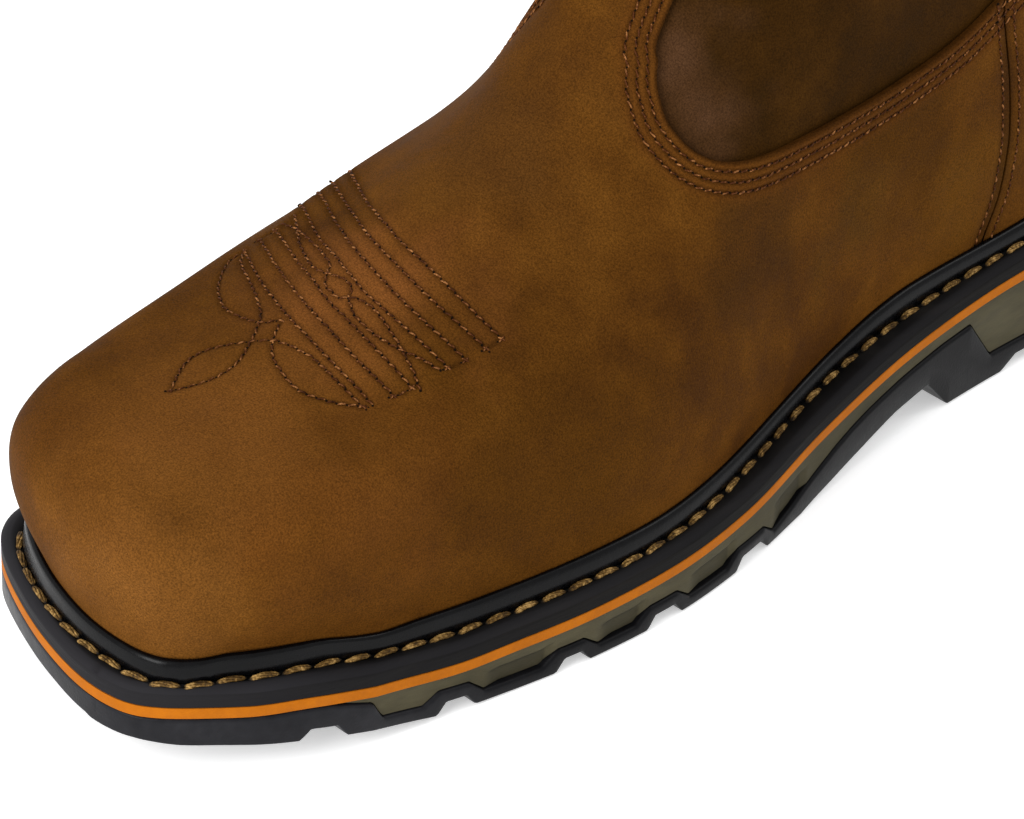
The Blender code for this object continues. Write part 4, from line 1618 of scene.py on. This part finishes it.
    def edges(self, at: np.ndarray, inset: float) -> tuple[np.ndarray, np.ndarray, np.ndarray]:
        """Centre, half width and place of the sole's edge at each station."""
        held = np.clip(at, LAST.toe_start + inset + 0.02, LAST.length - inset - 0.02)
        return LAST.sole_middle(held, inset), LAST.sole_half(held, inset), held

    def build_outsole(self) -> None:
        """Makes the black outsole with its lugs, arch and heel."""
        at = self.stations(LAST.toe_start)
        middle, half, place = self.edges(at, 0.0)
        tread = self.tread.straight(at)
        edge = tread + self.notch_rise * self.lift(at, self.notches)
        lag = np.where((at > self.lag_from) & (at < self.lag_to), at - self.centre_lag, at)
        centre = tread + self.notch_rise * self.lift(lag, self.notches)
        top = self.outsole_top(at)
        low_round = np.minimum(self.tread_bevel, self.round_share * half)
        top_round = np.minimum(self.ribbon_round, self.round_share * half)
        # Painted shade: the rubber darkens towards the heel and most on the heel breast.
        darkened = self.heel_shade_most * soft_step((at - self.heel_shade_from) / self.heel_shade_run)
        breast = self.breast_shade * soft_step((at - self.breast_from) / self.breast_in)
        breast = breast * soft_step((self.breast_to - at) / self.breast_out)
        tilt = self.inner_rise * np.exp(-(((at - self.inner_rise_at) / self.inner_rise_reach) ** 2))
        sections, marks = [], []
        for side in Side:
            low = edge + tilt * (side is Side.INNER)
            inside = half * self.centre_share
            profile = [(inside, centre), (inside + np.minimum(self.lug_slope, 0.1 * half), low)]
            profile.append((half - 2.5 * low_round, low))
            for turn in np.linspace(0, np.pi / 2, 4):
                width = half - low_round * (1 - math.sin(turn))
                profile.append((width, low + low_round * (1 - math.cos(turn))))
            profile.append((half, low + 0.5 * (top - low)))
            for turn in np.linspace(0, np.pi / 2, 5):
                width = half - top_round * (1 - math.cos(turn))
                profile.append((width, top - top_round * (1 - math.sin(turn))))
            profile.append((np.maximum(half - self.ribbon_width, 0.1 * half), top))
            lines = edge_lines(middle, place, profile, side)
            shades = [np.maximum(darkened, breast * (row < self.breast_rows)) for row in range(len(profile))]
            order = slice(None, None, int(side.value))
            sections += lines[order]
            marks += shades[order]
        piece = add_mesh("outsole_rubber", np.stack(sections, axis=1), False, MOULDED_RUBBER, 40.0)
        mark(piece, "shade", np.stack(marks, axis=1))
        declare(piece, "outsole", "outsole")

    def pocket(self, at: np.ndarray, below: float) -> tuple[np.ndarray, np.ndarray]:
        """Hollows above the lugs: easing in at the toe end, with a short bevel at the heel end.

        Args:
            at: Places along the sole.
            below: Distance below the upper side of the midsole, as a share of its height.

        Returns:
            Share of the full depth, and share of the painted shade that lies in the hollow and under its
            upper lip.
        """
        # The shade is painted shade: darker on each hollow's floor, with a dark line under its upper lip.
        depth, shade = np.zeros_like(at), np.zeros_like(at)
        down = min(max((below - self.pocket_top) / self.pocket_ease, 0.0), 1.0)
        lugs = self.notches[1 : self.front_notches] + (self.arch_start,)
        for here, after in zip(lugs, lugs[1:]):
            start, end = here.end + self.pocket_after, after.start + self.pocket_over
            slope = np.clip((at - start) / self.pocket_slope, 0, 1)
            bevel = np.clip((end - at) / self.pocket_bevel, 0, 1)
            depth = np.maximum(depth, np.minimum(slope, bevel))
            shade = np.maximum(shade, soft_step(slope * 1.5) * (bevel > 0.9) * self.pocket_shade)
        lip = self.lip_shade * np.exp(-(((below - self.lip_at) / self.lip_reach) ** 2))
        return depth * down, (shade + lip * (depth > 0.3)) * down

    def build_midsole(self) -> None:
        """Makes the olive midsole with its hollows and the painted shade in them."""
        at = self.stations(self.midsole_start)
        middle, half, place = self.edges(at, self.midsole_inset)
        top = LAST.stripe.smooth(at) - LAST.gap
        low = self.outsole_top(at) + LAST.gap
        profile, marks = [(np.maximum(half - self.layer_lap, 0.0), top)], [0 * at]
        for below in np.linspace(0, 1, 21):
            deep, shade = self.pocket(at, below)
            profile.append((np.maximum(half - self.pocket_depth * deep, 0.0), top - below * (top - low)))
            marks.append(shade)
        profile.append((np.maximum(half - self.foam_lap, 0.0), low))
        marks.append(0 * at)
        sections = edge_lines(middle, place, profile, Side.OUTER)
        sections += edge_lines(middle, place, profile[::-1], Side.INNER)
        piece = add_mesh("midsole_foam", np.stack(sections, axis=1), False, OLIVE_FOAM, 35.0)
        mark(piece, "hollow", np.stack(marks + marks[::-1], axis=1))
        declare(piece, "midsole", "midsole")

    def build_stripe(self) -> None:
        """Makes the orange layer."""
        at = self.stations(LAST.toe_start)
        middle, half, place = self.edges(at, 0.0)
        low = LAST.stripe.smooth(at)
        high = low + LAST.stripe_thick
        upper = [(self.layer_lap, high), (0.15, high), (0.0, high - 0.2)]
        lower = [(0.0, low + 0.2), (0.15, low), (self.layer_lap, low)]
        profile = [(np.maximum(half - inset, 0.0), height) for inset, height in upper + lower]
        sections = edge_lines(middle, place, profile, Side.OUTER)
        sections += edge_lines(middle, place, profile[::-1], Side.INNER)
        piece = add_mesh("midsole_stripe_foam", np.stack(sections, axis=1), False, ORANGE_FOAM, 35.0)
        declare(piece, "midsole_stripe", "midsole_stripe")


@dataclass
class Footbed:
    """Cloth-covered cushion inside the boot."""

    inset: float = 4.4
    thick: float = 5.0
    steps: int = 90
    section: Places = ((1.0, 0.0), (1.0, 0.7), (0.985, 0.9), (0.95, 1.0), (0.6, 0.93), (0.0, 0.9))

    def build(self) -> None:
        """Makes the footbed with a rounded upper edge."""
        share = np.clip(spaced(self.steps), 0.0015, 0.9985)
        outer = LAST.point(0.0, share, Side.OUTER, -self.inset)
        inner = LAST.point(0.0, share, Side.INNER, -self.inset)
        middle, half = (outer[:, 0] + inner[:, 0]) / 2, (outer[:, 0] - inner[:, 0]) / 2
        low = LAST.welt_floor(outer[:, 1])
        profile = [(half * width, low + rise * self.thick) for width, rise in self.section]
        lines = edge_lines(middle, outer[:, 1], profile, Side.OUTER)
        lines += edge_lines(middle, outer[:, 1], profile[-2::-1], Side.INNER)
        declare(add_mesh("footbed", np.stack(lines, axis=1), False, FOOTBED_CLOTH, 50.0), "insole", "insole")


def main() -> None:
    """Builds the boot and its studio in order."""
    logging.basicConfig(level=logging.INFO, format="%(name)s %(message)s")
    studio = Studio()
    studio.build()
    sole = SoleUnit()
    sole.build_outsole()
    sole.build_midsole()
    sole.build_stripe()
    welt = WeltStrip()
    welt.build()
    thick = StitchTree(
        "welt_stitches", WELT_THREAD, pitch=6.9, length=6.7, ply=0.29, plies=5, spread=0.47, twist=0.4,
        arch=0.5, slant=0.06, hole=0.0, flat=0.6, segments=8,
    )
    declare(thick.lay("welt_stitching", [welt.stitch_line()]), "welt")
    Footbed().build()
    upper = Upper()
    sewn = upper.build_panels()
    upper.build_shaft()
    thin = StitchTree(
        "seam_stitches", SEAM_THREAD, pitch=2.25, length=2.15, ply=0.215, plies=1, spread=0.0, twist=0.0,
        arch=0.36, slant=0.3, hole=0.32, flat=1.0, segments=6,
    )
    declare(thin.lay("upper_stitches", sewn), "vamp")


if __name__ == "__main__":
    main()
